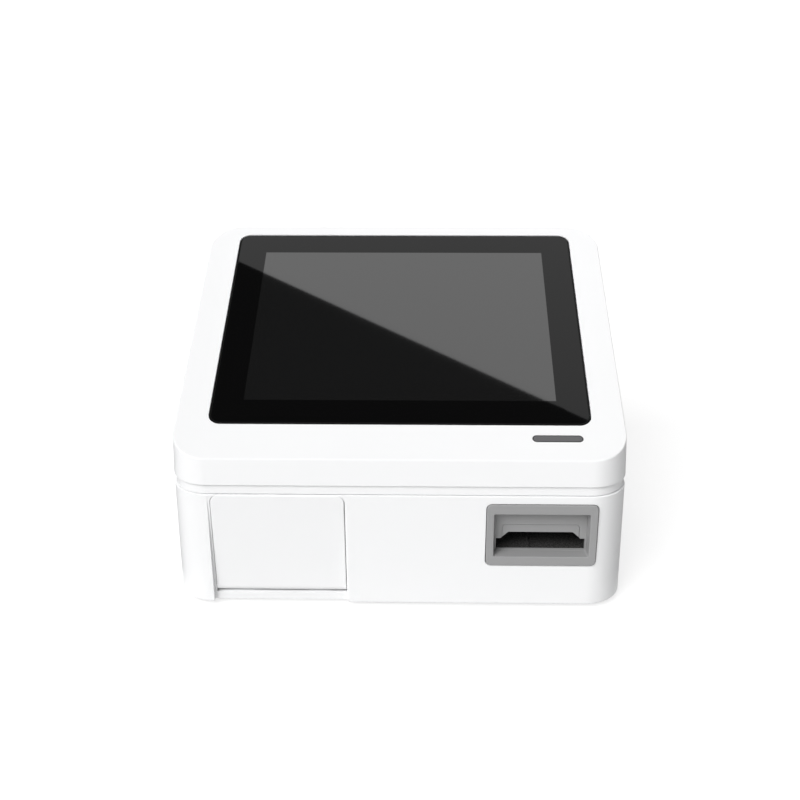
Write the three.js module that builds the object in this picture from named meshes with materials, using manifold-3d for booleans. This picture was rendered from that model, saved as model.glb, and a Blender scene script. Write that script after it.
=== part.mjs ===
// Bench-top blood gas analyzer. A wedge-shaped case carries a slanted touch display, a paper
// printer behind the left front door and a slot for test cartridges at the right front.
// Millimetres. X runs to the right, Y to the back and Z up. The origin lies below the middle of
// the case, on the surface that the feet stand on.

import * as THREE from 'three';
import { mergeVertices } from 'three/addons/utils/BufferGeometryUtils.js';
import Module from 'manifold-3d';

const wasm = await Module();
wasm.setup();

// Case
const case_width = 230;
const case_depth = 174.4;
const corner_radius = 18;
const cover_front_height = 14.35;
const top_slope = THREE.MathUtils.degToRad(21.95);
const shell_height = 62.9;
const band_height = 5.65;
const band_inset = 0.2;
const cover_flare = 0.8;
const shell_top_flare = 0.8;
const shell_bottom_flare = 1.4;
const wall = 2.5;
const top_wall = 3.6;
const edge_round = 0.6;
const base_round = 1;
const seam = 0.3;
const overrun = 6;
const corner_steps = 9;
const edge_steps = 3;

// Feet and housing screws
const foot_height = 2.5;
const foot_radius = 7;
const foot_pocket = 1;
const foot_inset = 24;
const boss_radius = 4.5;
const boss_inset_x = 11.5;
const boss_inset_y = 15.2;
const boss_rib = 1.8;
const screw_radius = 1.5;
const screw_head_radius = 2.8;
const screw_head_height = 2.4;
const screw_seat = 11.9;
const screw_length = 21;
const screw_clearance = 0.3;

// Mid frame
const deck_thickness = 2;
const ring_width = 3;
const standoff_radius = 3;
const standoff_height = 4.5;
const motor_window_width = 26;
const window_corner = 6;
const printer_window_inset = 18;
const printer_window_length = 43.5;

// Display and status light, measured along the slanted top from its front edge
const glass_side_margin = 16.9;
const glass_front_margin = 24.3;
const glass_back_margin = 8.13;
const glass_corner = 6.4;
const glass_thickness = 1.9;
const glass_gap = 0.25;
const ledge_width = 5;
const panel_thickness = 5.5;
const bracket_thickness = 1.4;
const bracket_overlap = 9;
const bracket_margin = 22.8;
const bracket_pad = 10;
const bracket_window_width = 96;
const bracket_window_length = 60;
const light_side_inset = 34.9;
const light_setback = 7.3;
const light_width = 25.2;
const light_height = 4.2;
const light_lip = 1.2;
const light_stem = 2.2;
const light_board_width = 27;
const light_board_length = 9;
const board_thickness = 1.6;

// Printer door, measured on the face of the lower shell
const door_side_inset = 19.6;
const door_width = 67.9;
const door_bottom = 4.6;
const door_top_gap = 0.1;
const door_corner = 4.3;
const door_thickness = 2.4;
const door_gap = 0.5;
const recess_margin = 1.3;
const recess_depth = 3.3;
const surround_depth = 8.5;
const surround_margin = 3.4;
const hinge_offset = 3.4;
const pin_radius = 1.5;
const pin_seat = 2.2;
const barrel_length = 12;
const barrel_inset = 8;
const arm_thickness = 1.8;
const arm_inset = 0.8;
const arm_radius = 3.6;
const arm_height = 9;

// Printer
const roll_radius = 19;
const roll_width = 57;
const roll_inset = 3.9;
const roll_setback = 29.2;
const roll_play = 1;
const core_radius = 6.4;
const core_wall = 1.2;
const bucket_wall = 2;
const bucket_play = 0.3;
const platen_radius = 4.5;
const platen_setback = 9.6;
const platen_drop = 6.8;
const shaft_radius = 1.5;
const head_height = 13;
const head_thickness = 3.2;
const head_bump = 0.5;
const gear_module = 0.6;
const platen_teeth = 16;
const idler_teeth = 24;
const pinion_teeth = 12;
const gear_width = 3;
const gear_backlash = 0.16;
const idler_direction = THREE.MathUtils.degToRad(-30);
const pinion_direction = THREE.MathUtils.degToRad(20);
const feed_motor_radius = 7.5;
const feed_motor_length = 12;

// Cartridge slot
const slot_side_inset = 42.3;
const bezel_side = 3.8;
const bezel_top_margin = 4.25;
const bezel_corner = 2.8;
const bezel_proud = 0.3;
const bezel_gap = 0.3;
const mouth_height = 24.4;
const mouth_sill = 5.4;
const mouth_head = 5.4;
const mouth_shoulder = 0.65;
const mouth_depth = 6.2;
const mouth_draft = 0.9;
const bezel_back = 2;
const throat_width = 45.5;
const throat_sill = 0.45;
const throat_step = 6.75;
const throat_rise = 10.4;
const hump_foot_inset = 2.35;
const hump_slant = 3.9;
const relief_inset = 2.85;
const relief_drop = 9;
const relief_corner = 2;
const relief_depth = 0.4;
const lip_height = 2.2;
const lip_inset = 4;

// Cartridge guide and the drives above it
const channel_play = 0.2;
const channel_wall = 2.4;
const channel_height = 11;
const channel_floor = 2.5;
const guide_length = 70;
const guide_shelf = 12;
const guide_rib_offset = 5.8;
const guide_rib_width = 1.6;
const guide_rib_height = 0.7;
const guide_rib_length = 28;
const guide_post_radius = 3;
const guide_post_inset = 9;
const heater_side = 6.95;
const heater_length = 34;
const heater_inset = 6;
const heater_flange = 3;
const heater_block = 8;
const heater_bore = 2.2;
const clamp_thickness = 2;
const collar_height = 2.2;
const motor_radius = 10;
const motor_height = 16;
const lead_screw_radius = 2.5;
const rod_radius = 2;
const rod_inset = 4;
const cartridge_height = 8.7;
const contact_travel = 2.5;
const plunger_travel = 3.5;
const pouch_press = 0.9;
const drive_head_height = 8;
const drive_head_side = 3.95;
const contact_head_length = 20;
const contact_drive_setback = 48;
const plunger_drive_setback = 21;
const plunger_head_length = 14;
const plunger_foot_radius = 6;
const pin_pitch = 2.54;
const pin_count = 11;
const pin_width = 1.1;
const pin_length = 1.6;
const strip_height = 1.6;
const strip_length = 4;
const scanner_width = 16;
const scanner_length = 18;
const scanner_height = 12;
const scanner_lens_radius = 3;
const scanner_setback = 10;
const switch_width = 12.8;
const switch_length = 6;
const switch_height = 6.5;
const lever_radius = 1.5;
const lever_length = 11;
const lever_width = 3;
const lever_thickness = 0.9;

// Electronics
const main_board_width = 126;
const main_board_length = 84;
const main_board_side = 32;
const main_board_back = 10;
const sink_size = 34;
const sink_base = 2;
const sink_height = 9;
const sink_fins = 8;
const fin_thickness = 1.4;
const power_board_width = 70;
const power_board_side = 18;
const power_board_front_gap = 10.4;
const power_board_back_gap = 12.8;
const power_board_height = 7.5;
const transformer_size = 22;
const transformer_height = 17;
const capacitor_radius = 5;
const capacitor_height = 18;
const cell_radius = 9.2;
const cell_count = 4;
const battery_side = 26.2;
const battery_front_gap = 12.8;
const battery_back_gap = 15.3;
const battery_cover_margin = 5;
const speaker_inset = 29.2;
const speaker_radius = 13;
const speaker_height = 6;
const vent_width = 2.4;
const vent_length = 18;
const vent_pitch = 5.4;
const vent_count = 7;
const ribbon_width = 16;
const ribbon_thickness = 0.6;
const ribbon_x = -6;

// Fan
const fan_side = 53;
const fan_rise = 35.45;
const fan_size = 40;
const fan_depth = 10;
const fan_wall = 1.2;
const fan_hub_radius = 8.5;
const fan_blades = 7;
const blade_thickness = 1.2;
const blade_twist = THREE.MathUtils.degToRad(24);
const blade_pitch = THREE.MathUtils.degToRad(38);
const blade_gap = 0.8;
const strut_width = 2.4;
const strut_depth = 1.6;
const grille_pitch = 5;
const grille_slot = 2.4;
const grille_rows = 7;

// Rear panel
const rear_width = 126;
const rear_height = 32;
const rear_bottom = 12;
const rear_corner = 3;
const rear_recess = 2.4;
const rear_thickness = 2.4;
const rear_lip = 2.5;
const port_sill = 8;
const port_wall = 0.5;
const usb_width = 13.2;
const usb_height = 6.2;
const usb_depth = 14;
const usb_tongue = 1.8;
const usb_pitch = 20;
const usb_x = 5;
const lan_x = 48;
const lan_width = 16;
const lan_height = 13.5;
const lan_depth = 18;
const lan_plug_width = 11.8;
const lan_plug_height = 7;
const lan_plug_depth = 11;
const inlet_x = -18;
const inlet_width = 10;
const inlet_height = 11;
const inlet_depth = 14;
const inlet_bore = 3.2;
const inlet_pin = 1;
const switch_x = -44;
const rocker_length = 16;
const rocker_height = 10;
const rocker_tilt = THREE.MathUtils.degToRad(10);
const rocker_play = 0.9;
const rocker_wall = 1.4;
const rocker_flange = 1.2;
const rocker_flange_depth = 1.5;
const rocker_body_depth = 13;
const rocker_depth = 4.4;
const io_board_length = 18;
const io_board_left = -28;
const io_board_right = 62;
const post_radius = 3;

// Values that follow from the driving dimensions
const half_width = case_width / 2;
const half_depth = case_depth / 2;
const rise = Math.tan(top_slope);
const slope_length = case_depth / Math.cos(top_slope);
const cover_bottom = shell_height + band_height;
const front_height = cover_bottom + cover_front_height;
const screw_depth = shell_height - screw_seat;
const glass_width = case_width - glass_side_margin * 2;
const glass_length = slope_length - glass_front_margin - glass_back_margin;
const glass_centre = glass_front_margin + glass_length / 2;
const light_x = half_width - light_side_inset;
const light_centre = glass_front_margin - light_setback - light_height / 2;
const front_face = -half_depth - shell_top_flare;
const front_foot = -half_depth - shell_bottom_flare;
const recess_foot = front_foot + recess_depth;
const door_left = door_side_inset - half_width;
const door_right = door_left + door_width;
const door_height = shell_height - door_bottom - door_top_gap;
const platen_height = door_height - platen_drop;
const door_tilt = Math.atan2(recess_foot - front_face, shell_height);
const surround_back = front_face + surround_depth;
const deck_bottom = shell_height + seam;
const deck_top = deck_bottom + deck_thickness;
const ring_top = cover_bottom - seam;
const boss_x = half_width - boss_inset_x;
const boss_y = half_depth - boss_inset_y;
const slot_centre = half_width - slot_side_inset;
const mouth_width = throat_width + (mouth_shoulder + mouth_draft) * 2;
const bezel_width = mouth_width + bezel_side * 2;
const bezel_height = mouth_sill + mouth_height + mouth_head;
const bezel_bottom = shell_height - bezel_top_margin - bezel_height;
const mouth_bottom = bezel_bottom + mouth_sill;
const throat_bottom = mouth_bottom + throat_sill;
const hump_foot_width = throat_width - hump_foot_inset * 2;
const hump_top_width = hump_foot_width - hump_slant * 2;
const relief_width = throat_width - relief_inset * 2;
const relief_top = mouth_bottom + mouth_height - relief_drop;
const bezel_front = front_foot - bezel_proud;
const bezel_end = bezel_front + mouth_depth + bezel_back;
const channel_width = throat_width + channel_play * 2;
const heater_width = channel_width - heater_side * 2;
const drive_head_width = channel_width - drive_head_side * 2;
const rod_x = drive_head_width / 2 - rod_inset;
const guide_front = bezel_end + seam;
const guide_end = guide_front + guide_length;
const channel_bottom = throat_bottom - seam;
const channel_top = channel_bottom + channel_height;
const guide_base = channel_bottom - channel_floor;
const strip_seat = strip_height / 2 - seam;
const drive_head_rise = cartridge_height + contact_travel + strip_height + pin_length - strip_seat;
const plunger_foot_height = drive_head_rise - plunger_travel - cartridge_height + pouch_press;
const drive_bottom = channel_bottom + drive_head_rise;
const drive_top = drive_bottom + drive_head_height;
const clamp_bottom = drive_top + collar_height + seam * 4;
const clamp_top = clamp_bottom + clamp_thickness;
const rear_face = half_depth + shell_top_flare;
const panel_face = rear_face - rear_recess;
const rear_middle = rear_bottom + rear_height / 2;
const rear_wall = rear_face - wall - seam;
const port_base = rear_bottom + port_sill;
const fan_x = fan_side - half_width;
const fan_z = cover_bottom + fan_rise;

// Materials
function finish(color, roughness, metalness = 0) {
  return new THREE.MeshStandardMaterial({ color, roughness, metalness });
}

const white_plastic = finish(0xf7f7f8, 0.42);
const light_grey_plastic = finish(0xb9bbbd, 0.5);
const slot_grey_plastic = finish(0x9b9b9b, 0.55);
const black_plastic = finish(0x242424, 0.6);
const smoke_lens = finish(0x6c6c6e, 0.3);
const black_glass = finish(0x0b0b0c, 0.06);
const display_black = finish(0x18191b, 0.25);
const steel = finish(0xb8bbbf, 0.32, 1);
const aluminium = finish(0xc6c8ca, 0.38, 1);
const brass = finish(0xc9a45a, 0.35, 1);
const rubber = finish(0x2b2b2c, 0.85);
const paper_white = finish(0xf3f1ea, 0.9);
const card_brown = finish(0xa98358, 0.9);
const board_green = finish(0x1f5b3c, 0.5);
const battery_wrap = finish(0x2f5f9a, 0.45);
const gear_white = finish(0xe6e4dc, 0.5);

// Solids

const half_turn = Math.PI;
const quarter_turn = Math.PI / 2;
const full_turn = Math.PI * 2;

function solidOf(geometry, matrix = new THREE.Matrix4()) {
  const bare = geometry.clone();
  bare.deleteAttribute('normal');
  bare.deleteAttribute('uv');
  const merged = mergeVertices(bare);
  merged.applyMatrix4(matrix);
  return new wasm.Manifold(new wasm.Mesh({
    numProp: 3,
    vertProperties: new Float32Array(merged.attributes.position.array),
    triVerts: new Uint32Array(merged.index.array),
  }));
}

function geometryOf(solid) {
  const data = solid.getMesh();
  const geometry = new THREE.BufferGeometry();
  geometry.setAttribute('position', new THREE.BufferAttribute(data.vertProperties, data.numProp));
  geometry.setIndex(new THREE.BufferAttribute(data.triVerts, 1));
  geometry.computeVertexNormals();
  return geometry;
}

function joined(...solids) {
  return solids.reduce((whole, piece) => whole.add(piece));
}

function cut(whole, ...tools) {
  return tools.reduce((rest, tool) => rest.subtract(tool), whole);
}

function block(x0, x1, y0, y1, z0, z1) {
  const geometry = new THREE.BoxGeometry(x1 - x0, y1 - y0, z1 - z0);
  geometry.translate((x0 + x1) / 2, (y0 + y1) / 2, (z0 + z1) / 2);
  return solidOf(geometry);
}

function shapeOf(points) {
  return new THREE.Shape(points.map(([a, b]) => new THREE.Vector2(a, b)));
}

// A rectangle whose four corners have their own radii, from the lower left one anticlockwise.
function roundedShape(a0, a1, b0, b1, radii) {
  const [r0, r1, r2, r3] = Array.isArray(radii) ? radii : [radii, radii, radii, radii];
  const shape = new THREE.Shape();
  const corner = (a, b, radius, from) => {
    if (radius > 0) shape.absarc(a, b, radius, from, from + quarter_turn, false);
    else shape.lineTo(a, b);
  };
  shape.moveTo(a0 + r0, b0);
  corner(a1 - r1, b0 + r1, r1, -quarter_turn);
  corner(a1 - r2, b1 - r2, r2, 0);
  corner(a0 + r3, b1 - r3, r3, quarter_turn);
  corner(a0 + r0, b0 + r0, r0, half_turn);
  shape.closePath();
  return shape;
}

function discShape(a, b, radius) {
  const shape = new THREE.Shape();
  shape.absarc(a, b, radius, 0, full_turn, false);
  return shape;
}

const along = {
  x: new THREE.Matrix4().makeBasis(
    new THREE.Vector3(0, 1, 0), new THREE.Vector3(0, 0, 1), new THREE.Vector3(1, 0, 0)),
  y: new THREE.Matrix4().makeBasis(
    new THREE.Vector3(1, 0, 0), new THREE.Vector3(0, 0, 1), new THREE.Vector3(0, -1, 0)),
  z: new THREE.Matrix4(),
};

// Sweeps an outline from one place to the next on an axis. The outline lies in the YZ, XZ or XY
// plane for the axes x, y and z.
function prism(shape, axis, from, to, curveSegments = 3) {
  const depth = to - from;
  const geometry = new THREE.ExtrudeGeometry(shape, { depth, bevelEnabled: false, curveSegments });
  geometry.translate(0, 0, axis === 'y' ? -to : from);
  geometry.applyMatrix4(along[axis]);
  return solidOf(geometry);
}

function rod(axis, a, b, radius, from, to, steps = 8) {
  return prism(discShape(a, b, radius), axis, from, to, steps);
}

// A turned piece about Z. The profile runs from the axis, or round a bore, as radius and height.
function turned(profile, steps = 20) {
  return new THREE.LatheGeometry(profile.map(([r, z]) => new THREE.Vector2(r, z)), steps)
    .rotateX(quarter_turn);
}

// Skins rings of equal point count and closes the first and the last one.
function loft(rings) {
  const count = rings[0].length;
  const positions = rings.flat().flatMap((point) => [point.x, point.y, point.z]);
  const index = [];
  for (let ring = 0; ring + 1 < rings.length; ring += 1) {
    for (let i = 0; i < count; i += 1) {
      const a = ring * count + i;
      const b = ring * count + ((i + 1) % count);
      index.push(a, b, b + count, a, b + count, a + count);
    }
  }
  const last = (rings.length - 1) * count;
  for (let i = 1; i + 1 < count; i += 1) {
    index.push(0, i + 1, i, last, last + i, last + i + 1);
  }
  const geometry = new THREE.BufferGeometry();
  geometry.setAttribute('position', new THREE.Float32BufferAttribute(positions, 3));
  geometry.setIndex(index);
  return solidOf(geometry);
}

// The plan outline of the case, moved outwards, at a height or on the surface of a function of Y.
function caseRing(outset, height) {
  const radius = corner_radius + outset;
  const x = half_width - corner_radius;
  const y = half_depth - corner_radius;
  const corners = [[x, y, 0], [-x, y, 1], [-x, -y, 2], [x, -y, 3]];
  const ring = [];
  for (const [cx, cy, quarter] of corners) {
    for (let step = 0; step <= corner_steps; step += 1) {
      const angle = (quarter + step / corner_steps) * quarter_turn;
      const point = new THREE.Vector3(cx + radius * Math.cos(angle), cy + radius * Math.sin(angle), 0);
      point.z = typeof height === 'function' ? height(point.y) : height;
      ring.push(point);
    }
  }
  return ring;
}

function topSurface(drop) {
  return (y) => front_height + (y + half_depth) * rise - drop;
}

// Scene

const analyzer = new THREE.Group();
const housing = new THREE.Group();
housing.position.z = foot_height;
analyzer.add(housing);

// The slanted top: X to the right, Y up the slope from the front edge, Z out of the face.
const top_group = new THREE.Group();
top_group.position.set(0, -half_depth, front_height);
top_group.rotation.x = top_slope;
top_group.updateMatrix();
housing.add(top_group);

// The printer door: X to the right, Y into the case from the door's face, Z up the door.
const door_group = new THREE.Group();
const door_face = recess_foot + (front_face - recess_foot) * (door_bottom / shell_height);
door_group.position.set(0, door_face, door_bottom);
door_group.rotation.x = door_tilt;
door_group.updateMatrix();
housing.add(door_group);

function place(name, shape, material, group = housing, at = [0, 0, 0], turn = [0, 0, 0]) {
  const geometry = shape instanceof THREE.BufferGeometry ? shape : geometryOf(shape);
  const mesh = new THREE.Mesh(geometry, material);
  mesh.name = name;
  mesh.position.set(...at);
  mesh.rotation.set(...turn);
  group.add(mesh);
  return mesh;
}

function inGroup(solid, group) {
  return solid.transform(group.matrix.elements);
}

function fromDoor(setback, height) {
  return new THREE.Vector3(0, setback, height).applyMatrix4(door_group.matrix);
}

// Every corner of the case carries a boss, a screw and a foot.
const corner_signs = [[-1, -1], [1, -1], [1, 1], [-1, 1]];

function atCorners(make) {
  return corner_signs.map(([sx, sy]) => make(sx * boss_x, sy * boss_y, sx, sy));
}

// Lower shell

const hinge_point = fromDoor(hinge_offset, hinge_offset);
const opening_left = door_left - door_gap;
const opening_right = door_right + door_gap;
const opening_bottom = door_bottom - door_gap;
const opening_top = door_bottom + door_height + door_gap;
const recess_left = door_left - recess_margin;
const recess_right = door_right + recess_margin;

function doorRecess() {
  const outline = shapeOf([
    [front_face, shell_height],
    [front_face - overrun, shell_height],
    [front_foot - overrun, -overrun],
    [recess_foot, -overrun],
    [recess_foot, 0],
  ]);
  return prism(outline, 'x', recess_left, recess_right);
}

function doorOpening() {
  const corner = door_corner + door_gap;
  const outline = roundedShape(opening_left, opening_right, opening_bottom, opening_top,
    [0, 0, corner, corner]);
  return prism(outline, 'y', front_foot - overrun, surround_back + overrun);
}

function floorVents(x, y) {
  const first = x - ((vent_count - 1) * vent_pitch) / 2;
  return Array.from({ length: vent_count }, (_, i) => {
    const middle = first + i * vent_pitch;
    const outline = roundedShape(middle - vent_width / 2, middle + vent_width / 2,
      y - vent_length / 2, y + vent_length / 2, vent_width / 2);
    return prism(outline, 'z', -overrun, wall + overrun, 1);
  });
}

const guide_half = channel_width / 2 + channel_wall;
const bucket_right = opening_right + bucket_play;
const roll_y = surround_back + roll_setback;
const cradle_radius = roll_radius + roll_play;
const io_back = rear_wall - rear_thickness;
const io_front = io_back - io_board_length;
const main_board_x = main_board_side - half_width + main_board_width / 2;
const power_board_x = half_width - power_board_side - power_board_width / 2;
const power_board_front = guide_end + power_board_front_gap;
const power_board_length = io_front - power_board_back_gap - power_board_front;
const power_board_y = power_board_front + power_board_length / 2;
const battery_width = cell_radius * 2 * cell_count;
const battery_front = roll_y + cradle_radius + bucket_wall + battery_front_gap;
const cell_length = io_front - battery_back_gap - battery_front;
const battery_x = battery_side - half_width + battery_width / 2;
const battery_y = battery_front + cell_length / 2;
const speaker_x = (bucket_right + bucket_wall + slot_centre - guide_half) / 2;
const speaker_y = speaker_inset - half_depth;
const vent_y = (speaker_y + speaker_radius + wall + battery_front - battery_cover_margin) / 2;
const battery_cover_x = battery_width / 2 + battery_cover_margin;
const battery_cover_y = cell_length / 2 + battery_cover_margin;

function batteryOutline(gap) {
  const x = battery_cover_x - gap;
  const y = battery_cover_y - gap;
  return roundedShape(battery_x - x, battery_x + x, battery_y - y, battery_y + y, rear_corner);
}

const guide_posts = [guide_front + guide_post_inset, guide_end - guide_post_inset].flatMap((y) => [
  [slot_centre - guide_half + guide_post_radius, y],
  [slot_centre + guide_half - guide_post_radius, y],
]);
const power_posts = corner_signs.map(([sx, sy]) => [
  power_board_x + sx * (power_board_width / 2 - post_radius - wall),
  power_board_y + sy * (power_board_length / 2 - post_radius - wall),
]);
const io_posts = [io_board_left + post_radius + wall, io_board_right - post_radius - wall].flatMap((x) => [
  [x, io_back - post_radius - wall],
  [x, io_front + post_radius + wall],
]);
const scanner_x = slot_centre - guide_half - seam - scanner_width / 2;
const scanner_y = guide_front + scanner_setback;
const io_bottom = port_base - seam - board_thickness;

function lowerShell() {
  const outer = loft([
    caseRing(shell_bottom_flare - base_round, 0),
    caseRing(shell_bottom_flare, base_round),
    caseRing(shell_top_flare, shell_height),
  ]);
  const inner = loft([
    caseRing(shell_bottom_flare - wall, wall),
    caseRing(shell_top_flare - wall, shell_height + overrun),
  ]);
  const posts = [
    ...guide_posts.map(([x, y]) => rod('z', x, y, guide_post_radius, 0, guide_base - seam, 4)),
    ...power_posts.map(([x, y]) => rod('z', x, y, post_radius, 0, power_board_height - seam, 3)),
    ...io_posts.map(([x, y]) => rod('z', x, y, post_radius, 0, io_bottom - seam, 3)),
    rod('z', scanner_x, scanner_y, post_radius, 0, channel_bottom - seam, 3),
    rod('z', speaker_x, speaker_y, speaker_radius + wall, 0, wall + wall, 6),
  ];
  const bosses = atCorners((x, y) => rod('z', x, y, boss_radius, 0, shell_height, 5));
  const surround = block(door_left - surround_margin, door_right + surround_margin,
    -half_depth, surround_back, 0, shell_height);
  const screw_wells = atCorners((x, y) => rod('z', x, y, screw_head_radius + screw_clearance,
    -overrun, screw_depth, 5));
  const screw_holes = atCorners((x, y) => rod('z', x, y, screw_radius + screw_clearance,
    -overrun, shell_height + overrun, 4));
  const foot_pockets = atCorners((x, y, sx, sy) => rod('z', sx * (half_width - foot_inset),
    sy * (half_depth - foot_inset), foot_radius + seam, -overrun, foot_pocket, 8));
  const slot_half = bezel_width / 2 + bezel_gap;
  const slot_outline = roundedShape(slot_centre - slot_half, slot_centre + slot_half,
    bezel_bottom - bezel_gap, bezel_bottom + bezel_height + bezel_gap, bezel_corner + bezel_gap);
  const slot = prism(slot_outline, 'y', front_foot - overrun, surround_back);
  const rear = prism(roundedShape(-rear_width / 2 - seam, rear_width / 2 + seam,
    rear_bottom - seam, rear_bottom + rear_height + seam, rear_corner + seam),
    'y', rear_wall - rear_thickness, rear_face + overrun);
  const pin = rod('x', hinge_point.y, hinge_point.z, pin_radius + screw_clearance,
    opening_left - pin_seat - seam, opening_right + pin_seat + seam, 5);
  const speaker_well = rod('z', speaker_x, speaker_y, speaker_radius + seam, wall, wall + overrun, 6);
  const battery_hole = prism(batteryOutline(0), 'z', -overrun, wall + overrun);
  const sound_slots = floorVents(speaker_x, speaker_y).slice(2, -2);
  const shell = joined(cut(outer, inner), surround, ...posts, ...bosses);
  return cut(shell, doorRecess(), doorOpening(), slot, rear, pin, battery_hole, speaker_well,
    ...screw_wells, ...screw_holes, ...foot_pockets, ...sound_slots, ...floorVents(speaker_x, vent_y));
}

place('lower_shell', lowerShell(), white_plastic);

// Mid frame: its ring shows as the recessed band, and its deck carries the main board.

const board_y = half_depth - wall - main_board_back - main_board_length / 2;
const board_posts = corner_signs.map(([sx, sy]) => [
  main_board_x + sx * (main_board_width / 2 - standoff_radius),
  board_y + sy * (main_board_length / 2 - standoff_radius),
]);
const board_bottom = deck_top + standoff_height + seam;
const board_top = board_bottom + board_thickness;
const contact_y = guide_front + contact_drive_setback;
const plunger_y = guide_front + plunger_drive_setback;

function midFrame() {
  const outer = loft([caseRing(-band_inset, deck_bottom), caseRing(-band_inset, ring_top)]);
  const inner = loft([
    caseRing(-band_inset - ring_width, deck_top),
    caseRing(-band_inset - ring_width, ring_top + overrun),
  ]);
  const bosses = atCorners((x, y) => rod('z', x, y, boss_radius, deck_bottom, ring_top, 5));
  const holes = atCorners((x, y) => rod('z', x, y, screw_radius + screw_clearance,
    deck_bottom - overrun, ring_top + overrun, 4));
  const standoffs = board_posts.map(([x, y]) => rod('z', x, y, standoff_radius,
    deck_bottom, deck_top + standoff_height, 3));
  const half = motor_window_width / 2;
  const window = prism(roundedShape(slot_centre - half, slot_centre + half,
    plunger_y - half, contact_y + half, window_corner), 'z', deck_bottom - overrun, deck_top + overrun);
  const window_half_x = main_board_width / 4;
  const window_half_y = main_board_length / 4;
  const cable_window = prism(roundedShape(main_board_x - window_half_x, main_board_x + window_half_x,
    board_y - window_half_y, board_y + window_half_y, window_corner),
    'z', deck_bottom - overrun, deck_top + overrun);
  const printer_window = prism(roundedShape(door_left + printer_window_inset,
    door_right - printer_window_inset, surround_back + printer_window_inset,
    surround_back + printer_window_inset + printer_window_length, window_corner),
    'z', deck_bottom - overrun, deck_top + overrun);
  const frame = joined(cut(outer, inner), ...bosses, ...standoffs);
  return cut(frame, window, cable_window, printer_window, ...holes);
}

place('mid_frame', midFrame(), white_plastic);

// Top cover

const window_x = glass_width / 2 - ledge_width;
const window_y = glass_length / 2 - ledge_width;
const bracket_x = window_x + bracket_overlap;
const bracket_y = glass_length / 2 - bracket_margin;
const bracket_top = -glass_thickness - seam - panel_thickness - seam;

function fanGrille() {
  const radius = fan_size / 2 - fan_wall - grille_slot;
  return Array.from({ length: grille_rows }, (_, i) => {
    const height = (i - (grille_rows - 1) / 2) * grille_pitch;
    const half = Math.sqrt(radius * radius - height * height);
    return prism(roundedShape(fan_x - half, fan_x + half, fan_z + height - grille_slot / 2,
      fan_z + height + grille_slot / 2, grille_slot / 2), 'y', half_depth - overrun, half_depth + overrun, 1);
  });
}

function topCover() {
  const rounding = Array.from({ length: edge_steps + 1 }, (_, i) => {
    const angle = (i / edge_steps) * quarter_turn;
    return caseRing(-edge_round * (1 - Math.cos(angle)), topSurface(edge_round * (1 - Math.sin(angle))));
  });
  const outer = loft([caseRing(cover_flare, cover_bottom), ...rounding]);
  const inner = loft([
    caseRing(cover_flare - wall, cover_bottom - overrun),
    caseRing(cover_flare - wall, cover_bottom),
    caseRing(-wall, topSurface(top_wall / Math.cos(top_slope))),
  ]);
  const body = loft([caseRing(cover_flare - wall, cover_bottom), caseRing(-wall, topSurface(top_wall))]);
  const bosses = atCorners((x, y, sx) => {
    const reach = sx * (half_width - wall / 2);
    const rib = block(Math.min(x, reach), Math.max(x, reach), y - boss_rib / 2, y + boss_rib / 2,
      cover_bottom + boss_radius, front_height * 2);
    return joined(rod('z', x, y, boss_radius, cover_bottom, front_height * 2, 5), rib).intersect(body);
  });
  const pads = corner_signs.map(([sx, sy]) => inGroup(block(
    sx * bracket_x - bracket_pad / 2, sx * bracket_x + bracket_pad / 2,
    glass_centre + sy * bracket_y - bracket_pad / 2, glass_centre + sy * bracket_y + bracket_pad / 2,
    bracket_top + seam, -glass_thickness - seam,
  ), top_group).intersect(body));
  const pilots = atCorners((x, y) => rod('z', x, y, screw_radius + screw_clearance,
    cover_bottom - overrun, screw_depth + screw_length + overrun, 4));
  const x = glass_width / 2 + glass_gap;
  const y = glass_length / 2 + glass_gap;
  const glass_recess = prism(roundedShape(-x, x, glass_centre - y, glass_centre + y,
    glass_corner + glass_gap), 'z', -glass_thickness - seam, overrun);
  const window = prism(roundedShape(-window_x, window_x, glass_centre - window_y, glass_centre + window_y,
    ledge_width / 2), 'z', -top_wall - overrun, 0);
  const light = prism(lightOutline(glass_gap), 'z', -top_wall - overrun, overrun);
  const shell = joined(cut(outer, inner), ...bosses, ...pads);
  return cut(shell, ...pilots, ...fanGrille(), inGroup(glass_recess, top_group), inGroup(window, top_group),
    inGroup(light, top_group));
}

function lightOutline(gap) {
  const x = light_width / 2 + gap;
  const y = light_height / 2 + gap;
  return roundedShape(light_x - x, light_x + x, light_centre - y, light_centre + y, y);
}

place('top_cover', topCover(), white_plastic);

// Display stack and status light, in the slanted group

const glass_outline = roundedShape(-glass_width / 2, glass_width / 2,
  -glass_length / 2, glass_length / 2, glass_corner);
place('cover_glass', prism(glass_outline, 'z', -glass_thickness, 0), black_glass,
  top_group, [0, glass_centre, 0]);

const display_x = window_x - seam;
const display_y = window_y - seam;
const display_top = -glass_thickness - seam;
const display_outline = roundedShape(-display_x, display_x, -display_y, display_y, ledge_width / 2);
place('display_panel', prism(display_outline, 'z', display_top - panel_thickness, display_top), display_black,
  top_group, [0, glass_centre, 0]);

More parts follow.
